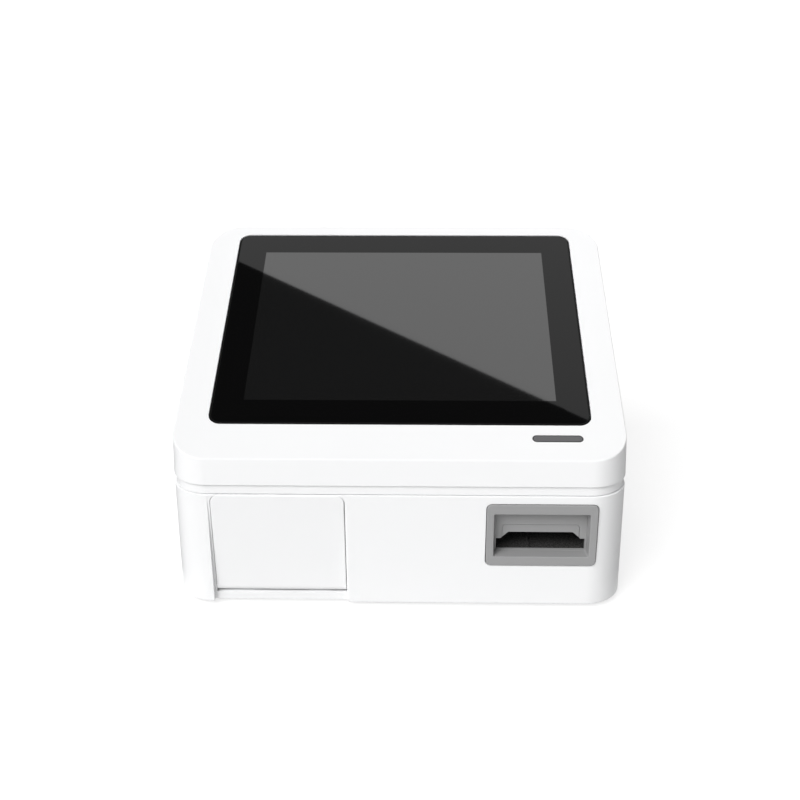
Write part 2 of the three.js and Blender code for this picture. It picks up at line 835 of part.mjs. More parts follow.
function displayBracket() {
  const x = bracket_x + bracket_pad / 2;
  const y = bracket_y + bracket_pad / 2;
  const plate = prism(roundedShape(-x, x, -y, y, bracket_pad / 2), 'z',
    bracket_top - bracket_thickness, bracket_top);
  const window = prism(roundedShape(-bracket_window_width / 2, bracket_window_width / 2,
    -bracket_window_length / 2, bracket_window_length / 2, bracket_pad),
    'z', bracket_top - overrun, bracket_top + overrun);
  const stiffeners = [-1, 1].map((side) => {
    const middle = side * (bracket_window_length / 2 + bracket_pad);
    return block(-display_x, display_x, middle - bracket_thickness / 2, middle + bracket_thickness / 2,
      bracket_top - bracket_thickness - panel_thickness, bracket_top - bracket_thickness / 2);
  });
  return cut(joined(plate, ...stiffeners), window);
}

place('display_bracket', displayBracket(), steel, top_group, [0, glass_centre, 0]);

const light_flange_top = -top_wall - seam;
const light_end = light_flange_top - light_stem;
const light_lens = joined(
  prism(lightOutline(0), 'z', light_end, 0),
  prism(lightOutline(light_lip), 'z', light_flange_top - light_lip, light_flange_top),
);
place('status_light', light_lens, smoke_lens, top_group);
place('status_light_board', block(-light_board_width / 2, light_board_width / 2,
  -light_board_length / 2, light_board_length / 2, light_end - seam - board_thickness, light_end - seam),
  board_green, top_group, [light_x, light_centre, 0]);

// Printer door and platen

const arm_left = door_left + arm_inset;
const arm_right = door_right - arm_inset;
const roll_left = door_left + roll_inset;
const roll_right = roll_left + roll_width;
const gear_right = arm_right - arm_thickness - seam;
const gear_left = gear_right - gear_width;

function printerDoor() {
  const panel = prism(roundedShape(door_left, door_right, hinge_offset, door_height,
    [0, 0, door_corner, door_corner]), 'y', 0, door_thickness);
  const foot = rod('x', hinge_offset, hinge_offset, hinge_offset, door_left, door_right, 8)
    .intersect(block(door_left, door_right, 0, door_thickness, 0, hinge_offset));
  const barrels = [door_left + barrel_inset, door_right - barrel_inset - barrel_length].map((x) =>
    rod('x', hinge_offset, hinge_offset, hinge_offset, x, x + barrel_length, 8));
  const arm_shape = new THREE.Shape();
  arm_shape.moveTo(door_thickness / 2, platen_height - arm_height);
  arm_shape.lineTo(platen_setback, platen_height - arm_radius);
  arm_shape.absarc(platen_setback, platen_height, arm_radius, -quarter_turn, quarter_turn, false);
  arm_shape.lineTo(door_thickness / 2, platen_height + arm_radius);
  arm_shape.closePath();
  const arm = (x) => prism(arm_shape, 'x', x, x + arm_thickness, 5);
  const ribs = [1, 2, 3].map((i) => {
    const x = door_left + (door_width * i) / 4;
    return block(x - boss_rib / 2, x + boss_rib / 2, door_thickness / 2, door_thickness + boss_rib,
      hinge_offset + hinge_offset, platen_height - platen_radius);
  });
  const door = joined(panel, foot, ...barrels, arm(arm_left), arm(arm_right - arm_thickness), ...ribs);
  const bore = rod('x', hinge_offset, hinge_offset, pin_radius + screw_clearance,
    door_left - overrun, door_right + overrun, 5);
  const shaft_holes = rod('x', platen_setback, platen_height, shaft_radius + screw_clearance,
    door_left, door_right, 5);
  return cut(door, bore, shaft_holes).translate([0, -hinge_offset, -hinge_offset]);
}

place('printer_door', printerDoor(), white_plastic, door_group, [0, hinge_offset, hinge_offset]);

const hinge_pin = rod('x', 0, 0, pin_radius, opening_left - pin_seat, opening_right + pin_seat, 4);
place('door_hinge_pin', hinge_pin, steel, housing, [0, hinge_point.y, hinge_point.z]);

const platen_point = fromDoor(platen_setback, platen_height);
const platen_roller = joined(
  rod('x', 0, 0, shaft_radius, arm_left, arm_right, 4),
  rod('x', 0, 0, platen_radius, roll_left, roll_right, 8),
);
place('platen_roller', platen_roller, rubber, housing, [0, platen_point.y, platen_point.z]);

// Printer gears. An involute flank unwinds from the base circle of each gear.

const pressure_angle = THREE.MathUtils.degToRad(20);
const addendum_share = 0.85;
const dedendum_share = 1.2;
const flank_steps = 3;

function gearOutline(teeth) {
  const pitch = (gear_module * teeth) / 2;
  const base = pitch * Math.cos(pressure_angle);
  const tip = pitch + gear_module * addendum_share;
  const root = pitch - gear_module * dedendum_share;
  const involute = (radius) => {
    const angle = Math.acos(Math.min(1, base / radius));
    return Math.tan(angle) - angle;
  };
  const half_tooth = (gear_module * quarter_turn - gear_backlash) / 2 / pitch + involute(pitch);
  const points = [];
  for (let tooth = 0; tooth < teeth; tooth += 1) {
    const middle = (tooth / teeth) * full_turn;
    const flank = [];
    for (let step = 0; step <= flank_steps; step += 1) {
      const radius = Math.max(base, root) + ((tip - Math.max(base, root)) * step) / flank_steps;
      flank.push([radius, half_tooth - involute(radius)]);
    }
    const side = [[root, half_tooth], ...flank];
    for (const [radius, angle] of side) {
      points.push([radius * Math.cos(middle - angle), radius * Math.sin(middle - angle)]);
    }
    for (const [radius, angle] of side.reverse()) {
      points.push([radius * Math.cos(middle + angle), radius * Math.sin(middle + angle)]);
    }
  }
  return shapeOf(points);
}

function gear(teeth, bore) {
  const body = prism(gearOutline(teeth), 'x', gear_left, gear_right);
  return bore > 0 ? cut(body, rod('x', 0, 0, bore, gear_left - overrun, gear_right + overrun, 4)) : body;
}

function meshedAngle(from_angle, from_teeth, direction, teeth) {
  const phase = (direction - from_angle) / (full_turn / from_teeth);
  return direction + half_turn + (phase - 0.5) * (full_turn / teeth);
}

function gearDistance(teeth_a, teeth_b) {
  return (gear_module * (teeth_a + teeth_b)) / 2;
}

const idler_distance = gearDistance(platen_teeth, idler_teeth);
const idler_y = platen_point.y + idler_distance * Math.cos(idler_direction);
const idler_z = platen_point.z + idler_distance * Math.sin(idler_direction);
const pinion_distance = gearDistance(idler_teeth, pinion_teeth);
const pinion_y = idler_y + pinion_distance * Math.cos(pinion_direction);
const pinion_z = idler_z + pinion_distance * Math.sin(pinion_direction);
const idler_turn = meshedAngle(idler_direction, platen_teeth, idler_direction, idler_teeth);
const pinion_turn = meshedAngle(idler_turn, idler_teeth, pinion_direction, pinion_teeth);
const axle_radius = shaft_radius + screw_clearance;

place('platen_gear', gear(platen_teeth, axle_radius), gear_white, housing,
  [0, platen_point.y, platen_point.z], [idler_direction, 0, 0]);
place('idler_gear', gear(idler_teeth, axle_radius), gear_white, housing,
  [0, idler_y, idler_z], [idler_turn, 0, 0]);

const bucket_left = opening_left - bucket_play;
const motor_face = bucket_right + bucket_wall + seam;
const pinion = joined(
  gear(pinion_teeth, 0),
  rod('x', 0, 0, shaft_radius, gear_left, motor_face + feed_motor_length / 2, 4),
);
place('motor_pinion', pinion, brass, housing, [0, pinion_y, pinion_z], [pinion_turn, 0, 0]);

function feedMotor() {
  const can = rod('x', 0, 0, feed_motor_radius, motor_face, motor_face + feed_motor_length, 8);
  const nose = rod('x', 0, 0, shaft_radius * 2, motor_face - bucket_wall, motor_face + seam, 5);
  const bore = rod('x', 0, 0, shaft_radius + screw_clearance, motor_face - overrun,
    motor_face + feed_motor_length / 2 + seam, 4);
  return cut(joined(can, nose), bore);
}

place('feed_motor', feedMotor(), steel, housing, [0, pinion_y, pinion_z]);

// Paper bucket with its cradle, roll and print head

const bucket_front = surround_back + seam;
const bucket_base = wall + seam;
const bucket_top = shell_height - seam * 2;
const roll_z = bucket_base + bucket_wall + cradle_radius;
const head_face = platen_point.y + platen_radius + seam;
const head_wall = head_face + head_thickness + seam;
const head_bottom = platen_point.z - head_height / 2;

function bucketOutline(radius, base, top, front) {
  const shape = new THREE.Shape();
  shape.moveTo(front, base);
  shape.lineTo(roll_y, base);
  shape.absarc(roll_y, base + radius, radius, -quarter_turn, 0, false);
  shape.lineTo(roll_y + radius, top);
  shape.lineTo(front, top);
  shape.closePath();
  return shape;
}

function paperBucket() {
  const outer = prism(bucketOutline(cradle_radius + bucket_wall, bucket_base, bucket_top, bucket_front),
    'x', bucket_left - bucket_wall, bucket_right + bucket_wall, 5);
  const inner_outline = bucketOutline(cradle_radius, bucket_base + bucket_wall, bucket_top - bucket_wall,
    bucket_front - overrun);
  const inner = prism(inner_outline, 'x', bucket_left, bucket_right, 5);
  const front_gap = block(bucket_left, bucket_right, bucket_front - overrun, head_wall,
    bucket_base + bucket_wall, bucket_top + overrun);
  const head_plate = block(bucket_left - bucket_wall / 2, roll_right, head_wall, head_wall + bucket_wall,
    head_bottom, bucket_top);
  const axle = rod('x', idler_y, idler_z, shaft_radius, gear_left, bucket_right + bucket_wall / 2, 4);
  const shoulder = rod('x', idler_y, idler_z, shaft_radius * 2, gear_right + seam,
    bucket_right + bucket_wall / 2, 5);
  const motor_hole = rod('x', pinion_y, pinion_z, shaft_radius * 2 + seam, bucket_right - seam,
    bucket_right + bucket_wall + overrun, 5);
  const bucket = joined(cut(outer, inner, front_gap), head_plate, axle, shoulder);
  return cut(bucket, motor_hole);
}

place('paper_bucket', paperBucket(), black_plastic);

function printHead() {
  const half = head_height / 2;
  const outline = shapeOf([
    [0, -half], [head_thickness, -half], [head_thickness, half], [0, half],
    [0, head_bump * 2], [-head_bump / 2, head_bump], [-head_bump / 2, -head_bump], [0, -head_bump * 2],
  ]);
  return prism(outline, 'x', roll_left, roll_right);
}

place('print_head', printHead(), aluminium, housing, [0, head_face + head_bump / 2, platen_point.z]);

const roll_steps = 28;
const core_inner = core_radius - core_wall;
const paper_bore = core_radius + seam;
const paper_profile = [
  [paper_bore, 0], [roll_radius, 0], [roll_radius, roll_width], [paper_bore, roll_width], [paper_bore, 0],
];
const core_profile = [
  [core_inner, 0], [core_radius, 0], [core_radius, roll_width], [core_inner, roll_width], [core_inner, 0],
];
const roll_at = [roll_left, roll_y, roll_z];
const roll_lying = [0, quarter_turn, 0];
place('paper_roll', solidOf(turned(paper_profile, roll_steps)), paper_white, housing,
  roll_at, roll_lying);
place('roll_core', solidOf(turned(core_profile, roll_steps)), card_brown, housing,
  roll_at, roll_lying);

// Cartridge slot bezel, in the slot group: X from the middle of the slot

const slot_group = new THREE.Group();
slot_group.position.set(slot_centre, 0, 0);
housing.add(slot_group);

function rectangleRing(width, z0, z1, y) {
  const half = width / 2;
  return [
    new THREE.Vector3(-half, y, z0), new THREE.Vector3(-half, y, z1),
    new THREE.Vector3(half, y, z1), new THREE.Vector3(half, y, z0),
  ];
}

function slotBezel() {
  const back_wall = bezel_front + mouth_depth;
  const body = prism(roundedShape(-bezel_width / 2, bezel_width / 2, bezel_bottom,
    bezel_bottom + bezel_height, bezel_corner), 'y', bezel_front, bezel_end);
  const lip_front = front_face + wall + seam;
  const lip_half = bezel_width / 2 - lip_inset;
  const lips = [bezel_bottom, bezel_bottom + bezel_height].map((z) =>
    block(-lip_half, lip_half, lip_front + seam, bezel_end, z - lip_height, z + lip_height));
  const mouth_top = mouth_bottom + mouth_height;
  const draft = mouth_draft / mouth_depth;
  const front_ring = rectangleRing(mouth_width + draft * overrun * 2, mouth_bottom - draft * overrun,
    mouth_top + draft * overrun, bezel_front - overrun);
  const back_ring = rectangleRing(mouth_width - mouth_draft * 2, throat_bottom, mouth_top - mouth_draft,
    back_wall);
  const mouth = loft([front_ring, back_ring]);
  const throat = prism(throatShape(0), 'y', bezel_front, bezel_end + overrun);
  const relief = prism(roundedShape(-relief_width / 2, relief_width / 2, throat_bottom + throat_step,
    relief_top, [0, 0, relief_corner, relief_corner]), 'y', back_wall - overrun, back_wall + relief_depth);
  return cut(joined(body, ...lips), mouth, throat, relief);
}

// The slot's stepped opening: low at both sides, with a wide hump for the cartridge's body.
function throatShape(gap) {
  const half = throat_width / 2 - gap;
  const foot = hump_foot_width / 2 - gap;
  const crown = hump_top_width / 2 - gap;
  const step = throat_bottom + throat_step - gap;
  const top = throat_bottom + throat_rise - gap;
  const bottom = throat_bottom + gap;
  return shapeOf([
    [-half, bottom], [half, bottom], [half, step], [foot, step], [crown, top], [-crown, top], [-foot, step],
    [-half, step],
  ]);
}

place('slot_bezel', slotBezel(), slot_grey_plastic, slot_group);

// Cartridge guide and heater

const heater_back = guide_end - channel_wall - heater_inset;
const heater_front = heater_back - heater_length;
const lever_y = guide_end + switch_length / 2 + seam;
const lever_z = channel_bottom + switch_height;

function cartridgeGuide() {
  const half = channel_width / 2;
  const base = block(-guide_half, guide_half, guide_front, guide_end + guide_shelf,
    guide_base, channel_bottom);
  const sides = [-1, 1].map((side) => block(
    Math.min(side * half, side * guide_half), Math.max(side * half, side * guide_half),
    guide_front, guide_end, guide_base, channel_top));
  const end = block(-guide_half, guide_half, guide_end - channel_wall, guide_end, guide_base, channel_top);
  const rib = block(-guide_rib_offset - guide_rib_width / 2, -guide_rib_offset + guide_rib_width / 2,
    guide_front, guide_front + guide_rib_length, guide_base, channel_bottom + guide_rib_height);
  const heater_window = block(-heater_width / 2 - seam, heater_width / 2 + seam, heater_front - seam,
    heater_back + seam, guide_base - overrun, channel_bottom + overrun);
  const lever_window = block(-lever_width, lever_width, guide_end - overrun, guide_end + seam,
    channel_bottom + seam, channel_top + overrun);
  const scanner_window = rod('x', scanner_y, channel_bottom + scanner_height / 2, scanner_lens_radius + seam,
    -guide_half - overrun, -half + seam, 5);
  return cut(joined(base, ...sides, end, rib), heater_window, lever_window, scanner_window);
}

place('cartridge_guide', cartridgeGuide(), black_plastic, slot_group);

function heaterPlate() {
  const pad = block(-heater_width / 2, heater_width / 2, heater_front, heater_back, guide_base - seam,
    channel_bottom - seam / 2);
  const flange_bottom = guide_base - seam - heater_flange;
  const flange = block(-heater_width / 2 - heater_flange, heater_width / 2 + heater_flange,
    heater_front - heater_flange, heater_back + heater_flange, flange_bottom, guide_base - seam);
  const core = block(-heater_width / 2, heater_width / 2, heater_front, heater_back,
    flange_bottom - heater_block, flange_bottom);
  const bores = [1, 3].map((i) => rod('x', heater_front + (heater_length * i) / 4,
    flange_bottom - heater_block / 2, heater_bore, -heater_width, heater_width, 5));
  return cut(joined(pad, flange, core), ...bores);
}

place('heater_plate', heaterPlate(), aluminium, slot_group);

// Two screw drives press on the cartridge: one lowers the contacts, one the pouch plunger.

const clamp_front = plunger_y - motor_radius - clamp_thickness;
const clamp_back = contact_y + motor_radius + clamp_thickness;
const drive_rows = [contact_y, plunger_y];
const screw_foot = drive_head_height / 4;

function clampFrame() {
  const outer = block(-guide_half, guide_half, clamp_front, clamp_back, channel_top + seam, clamp_top);
  const inner = block(-guide_half + clamp_thickness, guide_half - clamp_thickness, clamp_front - overrun,
    clamp_back + overrun, channel_top - overrun, clamp_bottom);
  const holes = drive_rows.map((y) =>
    rod('z', 0, y, lead_screw_radius + seam, clamp_bottom - overrun, clamp_top + overrun, 5));
  const guide_rods = drive_rows.flatMap((y) => [-rod_x, rod_x].map((x) =>
    rod('z', x, y, rod_radius, drive_bottom + screw_foot, clamp_top + seam, 4)));
  const middle = (contact_y + plunger_y) / 2;
  const window = block(-guide_half - overrun, guide_half + overrun, middle - motor_radius,
    middle + motor_radius, channel_top + clamp_thickness * 2, clamp_bottom - clamp_thickness);
  return joined(cut(outer, inner, ...holes, window), ...guide_rods);
}

place('clamp_frame', clampFrame(), aluminium, slot_group);

function driveHead(width, length) {
  const body = prism(roundedShape(-width / 2, width / 2, -length / 2, length / 2, rod_radius),
    'z', 0, drive_head_height);
  const nut = rod('z', 0, 0, lead_screw_radius * 2, 0, drive_head_height + seam * 2, 5);
  const bores = [
    rod('z', 0, 0, lead_screw_radius + seam, -overrun, drive_head_height + overrun, 5),
    rod('z', -rod_x, 0, rod_radius + seam, -overrun, drive_head_height + overrun, 4),
    rod('z', rod_x, 0, rod_radius + seam, -overrun, drive_head_height + overrun, 4),
  ];
  return { body: joined(body, nut), bores };
}

function contactHead() {
  const { body, bores } = driveHead(drive_head_width, contact_head_length);
  const groove = block(-drive_head_width / 2 - overrun, drive_head_width / 2 + overrun,
    -strip_length / 2 - seam + contact_head_length / 3, strip_length / 2 + seam + contact_head_length / 3,
    -overrun, strip_height / 2);
  return cut(body, ...bores, groove);
}

function plungerHead() {
  const { body, bores } = driveHead(drive_head_width, plunger_head_length);
  const foot = loft([
    circleRing(plunger_foot_radius - seam, -plunger_foot_height),
    circleRing(plunger_foot_radius, -plunger_foot_height + seam * 2),
    circleRing(plunger_foot_radius, seam),
  ]);
  return joined(cut(body, ...bores), foot);
}

function circleRing(radius, z) {
  return Array.from({ length: roll_steps }, (_, i) => {
    const angle = (i / roll_steps) * full_turn;
    return new THREE.Vector3(radius * Math.cos(angle), radius * Math.sin(angle), z);
  });
}

function contactStrip() {
  const length = pin_pitch * pin_count;
  const strip = block(-length / 2, length / 2, -strip_length / 2, strip_length / 2, -strip_height, 0);
  const pins = Array.from({ length: pin_count }, (_, i) => {
    const x = (i - (pin_count - 1) / 2) * pin_pitch;
    return block(x - pin_width / 2, x + pin_width / 2, -pin_width / 2, pin_width / 2,
      -strip_height - pin_length, -strip_height / 2);
  });
  return joined(strip, ...pins);
}

place('contact_head', contactHead(), light_grey_plastic, slot_group, [0, contact_y, drive_bottom]);
place('contact_strip', contactStrip(), brass, slot_group,
  [0, contact_y + contact_head_length / 3, drive_bottom + strip_seat]);
place('pouch_plunger', plungerHead(), light_grey_plastic, slot_group, [0, plunger_y, drive_bottom]);

function driveMotor() {
  const profile = [
    [0, 0], [motor_radius - seam, 0], [motor_radius, seam], [motor_radius, motor_height - seam * 2],
    [motor_radius - seam * 2, motor_height], [0, motor_height],
  ];
  const bore = rod('z', 0, 0, lead_screw_radius + seam, -overrun, motor_height / 3, 5);
  return cut(solidOf(turned(profile, 24)), bore);
}

function driveParts(name, y) {
  const base = drive_bottom + screw_foot;
  const reach = clamp_top + motor_height / 3 - base;
  const collar_top = clamp_bottom - base - seam;
  const spindle = joined(
    rod('z', 0, 0, lead_screw_radius, 0, reach, 5),
    rod('z', 0, 0, lead_screw_radius * 2, collar_top - collar_height, collar_top, 5),
  );
  place(`${name}_lead_screw`, spindle, steel, slot_group, [0, y, base]);
  place(`${name}_motor`, driveMotor(), steel, slot_group, [0, y, clamp_top + seam]);
}

driveParts('contact', contact_y);
driveParts('plunger', plunger_y);

// Code scanner beside the guide, and the cartridge switch behind its end

function codeScanner() {
  const bottom = channel_bottom;
  const body = prism(roundedShape(scanner_y - scanner_length / 2, scanner_y + scanner_length / 2,
    bottom, bottom + scanner_height, boss_rib),
    'x', scanner_x - scanner_width / 2, scanner_x + scanner_width / 2, 1);
  const lens = rod('x', scanner_y, bottom + scanner_height / 2, scanner_lens_radius,
    scanner_x, scanner_x + scanner_width / 2 + channel_wall, 5);
  return joined(body, lens);
}

place('code_scanner', codeScanner(), black_plastic);

const switch_side = lever_width / 2 + seam;

function cartridgeSwitch() {
  const bottom = channel_bottom + seam;
  const body = block(-switch_width / 2, switch_width / 2, lever_y - switch_length / 2 + seam,
    lever_y + switch_length, bottom, bottom + switch_height / 2);
  const ears = [-switch_width / 2, switch_side].map((x) => block(x, x + switch_width / 2 - switch_side,
    lever_y - lever_radius * 1.5, lever_y + lever_radius * 1.5, bottom, lever_z + lever_radius * 1.5));
  const pivot = rod('x', lever_y, lever_z, lever_radius / 2, -switch_side - seam, switch_side + seam, 4);
  return joined(body, ...ears, pivot);
}

place('cartridge_switch', cartridgeSwitch(), black_plastic, slot_group);

function switchLever() {
  const hub = rod('x', 0, 0, lever_radius, -lever_width / 2, lever_width / 2, 5);
  const arm = block(-lever_width / 2, lever_width / 2, -lever_length, 0,
    -lever_thickness / 2, lever_thickness / 2);
  const tip = rod('x', -lever_length, 0, lever_thickness, -lever_width / 2, lever_width / 2, 4);
  const bore = rod('x', 0, 0, lever_radius / 2 + seam / 2, -lever_width, lever_width, 4);
  return cut(joined(hub, arm, tip), bore);
}

place('switch_lever', switchLever(), steel, slot_group, [0, lever_y, lever_z]);

// Electronics

function mainBoard() {
  const x = main_board_width / 2;
  const y = main_board_length / 2;
  const board = prism(roundedShape(-x, x, -y, y, standoff_radius), 'z', 0, board_thickness);
  const chip_shares = [
    [0.25, 0.3, 0.11, 0.12], [0.6, 0.42, 0.05, 0.07], [0.78, 0.5, 0.06, 0.1], [0.5, 0.8, 0.14, 0.05],
  ];
  const chips = chip_shares.map(([a, b, w, l]) => block(
    (a - w - 0.5) * main_board_width, (a + w - 0.5) * main_board_width,
    (b - l - 0.5) * main_board_length, (b + l - 0.5) * main_board_length,
    board_thickness / 2, board_thickness * 2));
  return joined(board, ...chips);
}

place('main_board', mainBoard(), board_green, housing, [main_board_x, board_y, board_bottom]);

function heatSink() {
  const half = sink_size / 2;
  const base = block(-half, half, -half, half, 0, sink_base);
  const pitch = (sink_size - fin_thickness) / (sink_fins - 1);
  const fins = Array.from({ length: sink_fins }, (_, i) => {
    const x = -half + i * pitch;
    return block(x, x + fin_thickness, -half, half, sink_base / 2, sink_height);
  });
  return joined(base, ...fins);
}

const sink_x = main_board_x - main_board_width / 4;
const sink_y = board_y - main_board_length / 5;
place('heat_sink', heatSink(), aluminium, housing, [sink_x, sink_y, board_top + board_thickness + seam]);

function powerBoard() {
  const x = power_board_width / 2;
  const y = power_board_length / 2;
  const board = prism(roundedShape(-x, x, -y, y, post_radius), 'z', 0, board_thickness);
  const half = transformer_size / 2;
  const transformer_front = wall - y;
  const transformer = block(-half, half, transformer_front, transformer_front + transformer_size,
    board_thickness / 2, transformer_height);
  const capacitors = [-1, 0, 1].map((i) => rod('z', x - capacitor_radius * 2, i * capacitor_radius * 2.6,
    capacitor_radius, board_thickness / 2, capacitor_height, 5));
  const choke = rod('z', -x + capacitor_radius * 2.4, 0, capacitor_radius * 1.6,
    board_thickness / 2, capacitor_height / 2, 6);
  return joined(board, transformer, choke, ...capacitors);
}

place('power_board', powerBoard(), board_green, housing, [power_board_x, power_board_y, power_board_height]);

place('battery_cover', prism(batteryOutline(seam), 'z', 0, wall), light_grey_plastic);

function batteryPack() {
  const first = -battery_width / 2 + cell_radius;
  const cells = Array.from({ length: cell_count }, (_, i) =>
    rod('y', first + i * cell_radius * 2, cell_radius, cell_radius, -cell_length / 2, cell_length / 2, 8));
  const web = block(first, -first, -cell_length / 2, cell_length / 2, cell_radius / 2, cell_radius * 1.5);
  return joined(web, ...cells);
}

place('battery_pack', batteryPack(), battery_wrap, housing, [battery_x, battery_y, wall + seam]);

const speaker_profile = [
  [0, 0], [speaker_radius * 0.8, 0], [speaker_radius - seam, seam], [speaker_radius - seam, wall],
  [speaker_radius * 0.8, wall + seam], [speaker_radius * 0.6, speaker_height], [0, speaker_height],
];
place('speaker', solidOf(turned(speaker_profile, 24)), black_plastic, housing,
  [speaker_x, speaker_y, wall + seam]);

// Flat ribbon from the display bracket to the main board

function displayRibbon() {
  const under_bracket = bracket_top - bracket_thickness - seam;
  const high = new THREE.Vector3(0, glass_centre, under_bracket).applyMatrix4(top_group.matrix);
  const low_z = board_top + seam + ribbon_thickness;
  const bend_y = board_y - main_board_length / 2 + ribbon_width / 4;
  const middle = (high.z + low_z) / 2;
  const curve = new THREE.CatmullRomCurve3([
    new THREE.Vector3(0, high.y + ribbon_width / 2, high.z + (ribbon_width / 2) * rise),
    new THREE.Vector3(0, high.y - ribbon_width / 4, high.z - (ribbon_width / 2) * rise),
    new THREE.Vector3(0, bend_y, middle),
    new THREE.Vector3(0, bend_y + ribbon_width / 8, low_z + ribbon_width / 8),
    new THREE.Vector3(0, bend_y + ribbon_width / 2, low_z),
  ]);
  const steps = 12;
  const points = curve.getPoints(steps);
  const near = points.map((point) => [point.y, point.z]);
  const far = points.map((point, i) => {
    const tangent = curve.getTangent(i / steps);
    return [point.y + tangent.z * ribbon_thickness, point.z - tangent.y * ribbon_thickness];
  });
  return prism(shapeOf([...near, ...far.reverse()]), 'x', -ribbon_width / 2, ribbon_width / 2);
}

place('display_ribbon', displayRibbon(), card_brown, housing, [ribbon_x, 0, 0]);

// Fan behind the grille in the cover's rear wall

const fan_group = new THREE.Group();
const cover_share = (fan_z - cover_bottom) / (topSurface(0)(half_depth) - cover_bottom);
const fan_back = half_depth + cover_flare * (1 - cover_share) - wall - seam * 2;
fan_group.position.set(fan_x, fan_back, fan_z);
housing.add(fan_group);

function fanFrame() {
  const half = fan_size / 2;
  const radius = half - fan_wall;
  const body = prism(roundedShape(-half, half, -half, half, wall), 'y', -fan_depth, 0, 1);
  const bore = rod('y', 0, 0, radius, -fan_depth + strut_depth, overrun, 12);
  const hub = rod('y', 0, 0, fan_hub_radius, -fan_depth, -fan_depth + strut_depth, 8);
  const opening = cut(rod('y', 0, 0, radius, -fan_depth - overrun, -fan_depth + strut_depth + seam, 12), hub,
    block(-half, half, -fan_depth, -fan_depth + strut_depth, -strut_width / 2, strut_width / 2),
    block(-strut_width / 2, strut_width / 2, -fan_depth, -fan_depth + strut_depth, -half, half));
  return cut(body, bore, opening);
}

place('fan_frame', fanFrame(), black_plastic, fan_group);

function bladeRing(radius, pitch) {
  const half = (fan_depth - strut_depth - seam * 3) / 2;
  const chord = half * Math.tan(pitch);
  return [
    new THREE.Vector3(-chord, -half, radius), new THREE.Vector3(-chord + blade_thickness, -half, radius),
    new THREE.Vector3(chord + blade_thickness, half, radius), new THREE.Vector3(chord, half, radius),
  ];
}

function fanRotor() {
  const depth = fan_depth - strut_depth - seam * 2;
  const hub = rod('y', 0, 0, fan_hub_radius - seam, -depth / 2, depth / 2, fan_blades);
  const tip = fan_size / 2 - fan_wall - blade_gap;
  const blade = loft([
    bladeRing(fan_hub_radius / 2, blade_pitch + blade_twist / 2),
    bladeRing((fan_hub_radius + tip) / 2, blade_pitch),
    bladeRing(tip - blade_gap, blade_pitch - blade_twist / 2),
  ]);
  const blades = Array.from({ length: fan_blades }, (_, i) =>
    blade.transform(new THREE.Matrix4().makeRotationY((i / fan_blades) * full_turn).elements));
  return joined(hub, ...blades);
}

place('fan_rotor', fanRotor(), black_plastic, fan_group, [0, (strut_depth - fan_depth) / 2, 0]);

// Rear panel with its ports, in a group whose Y is zero on the panel's face

const rear_group = new THREE.Group();
rear_group.position.set(0, panel_face, 0);
housing.add(rear_group);

function portHole(x, z0, width, height) {
  const half = width / 2 + seam;
  return block(x - half, x + half, -rear_thickness - overrun, overrun, z0 - seam, z0 + height + seam);
}

const rocker_outer_x = rocker_length / 2 + rocker_play + rocker_wall;
const rocker_outer_z = rocker_height / 2 + rocker_play + rocker_wall;

function rearPanel() {
  const half = rear_width / 2;
  const top = rear_bottom + rear_height;
  const plate = prism(roundedShape(-half, half, rear_bottom, top, rear_corner), 'y', -rear_thickness, 0);
  const lip = prism(roundedShape(-half - rear_lip, half + rear_lip, rear_bottom - rear_lip, top + rear_lip,
    rear_corner), 'y', -rear_thickness, rear_wall - panel_face);
  const usb_holes = [0, 1].map((i) => portHole(usb_x + i * usb_pitch, port_base, usb_width, usb_height));
  return cut(joined(plate, lip), ...usb_holes,
    portHole(lan_x, port_base, lan_width, lan_height),
    portHole(inlet_x, port_base, inlet_width, inlet_height),
    portHole(switch_x, rear_middle - rocker_outer_z, rocker_outer_x * 2, rocker_outer_z * 2));
}

place('rear_panel', rearPanel(), light_grey_plastic, rear_group);

function usbPort() {
  const half = usb_width / 2;
  const body = block(-half, half, -usb_depth, 0, 0, usb_height);
  const cavity = block(-half + port_wall, half - port_wall, -usb_depth + port_wall * 4, overrun,
    port_wall, usb_height - port_wall);
  const tongue = block(-half + port_wall * 3, half - port_wall * 3, -usb_depth + port_wall, -port_wall * 2,
    usb_height - port_wall * 2 - usb_tongue, usb_height - port_wall * 2);
  return joined(cut(body, cavity), tongue);
}

[0, 1].forEach((i) => {
  place(`usb_port_${i + 1}`, usbPort(), steel, rear_group, [usb_x + i * usb_pitch, 0, port_base]);
});

function networkPort() {
  const half = lan_width / 2;
  const body = block(-half, half, -lan_depth, 0, 0, lan_height);
  const plug = lan_plug_width / 2;
  const floor = (lan_height - lan_plug_height) / 2;
  const cavity = block(-plug, plug, -lan_plug_depth, overrun, floor, floor + lan_plug_height);
  const latch = block(-plug / 3, plug / 3, -lan_plug_depth, overrun,
    floor - lan_plug_height / 4, floor + seam);
  return cut(body, cavity, latch);
}

place('network_port', networkPort(), steel, rear_group, [lan_x, 0, port_base]);

function powerInlet() {
  const half = inlet_width / 2;
  const middle = inlet_height / 2;
  const body = block(-half, half, -inlet_depth, 0, 0, inlet_height);
  const bore = rod('y', 0, middle, inlet_bore, -inlet_depth + wall, overrun, 8);
  const pin = rod('y', 0, middle, inlet_pin, -inlet_depth + wall / 2, -inlet_pin, 4);
  return joined(cut(body, bore), pin);
}

place('power_inlet', powerInlet(), black_plastic, rear_group, [inlet_x, 0, port_base]);

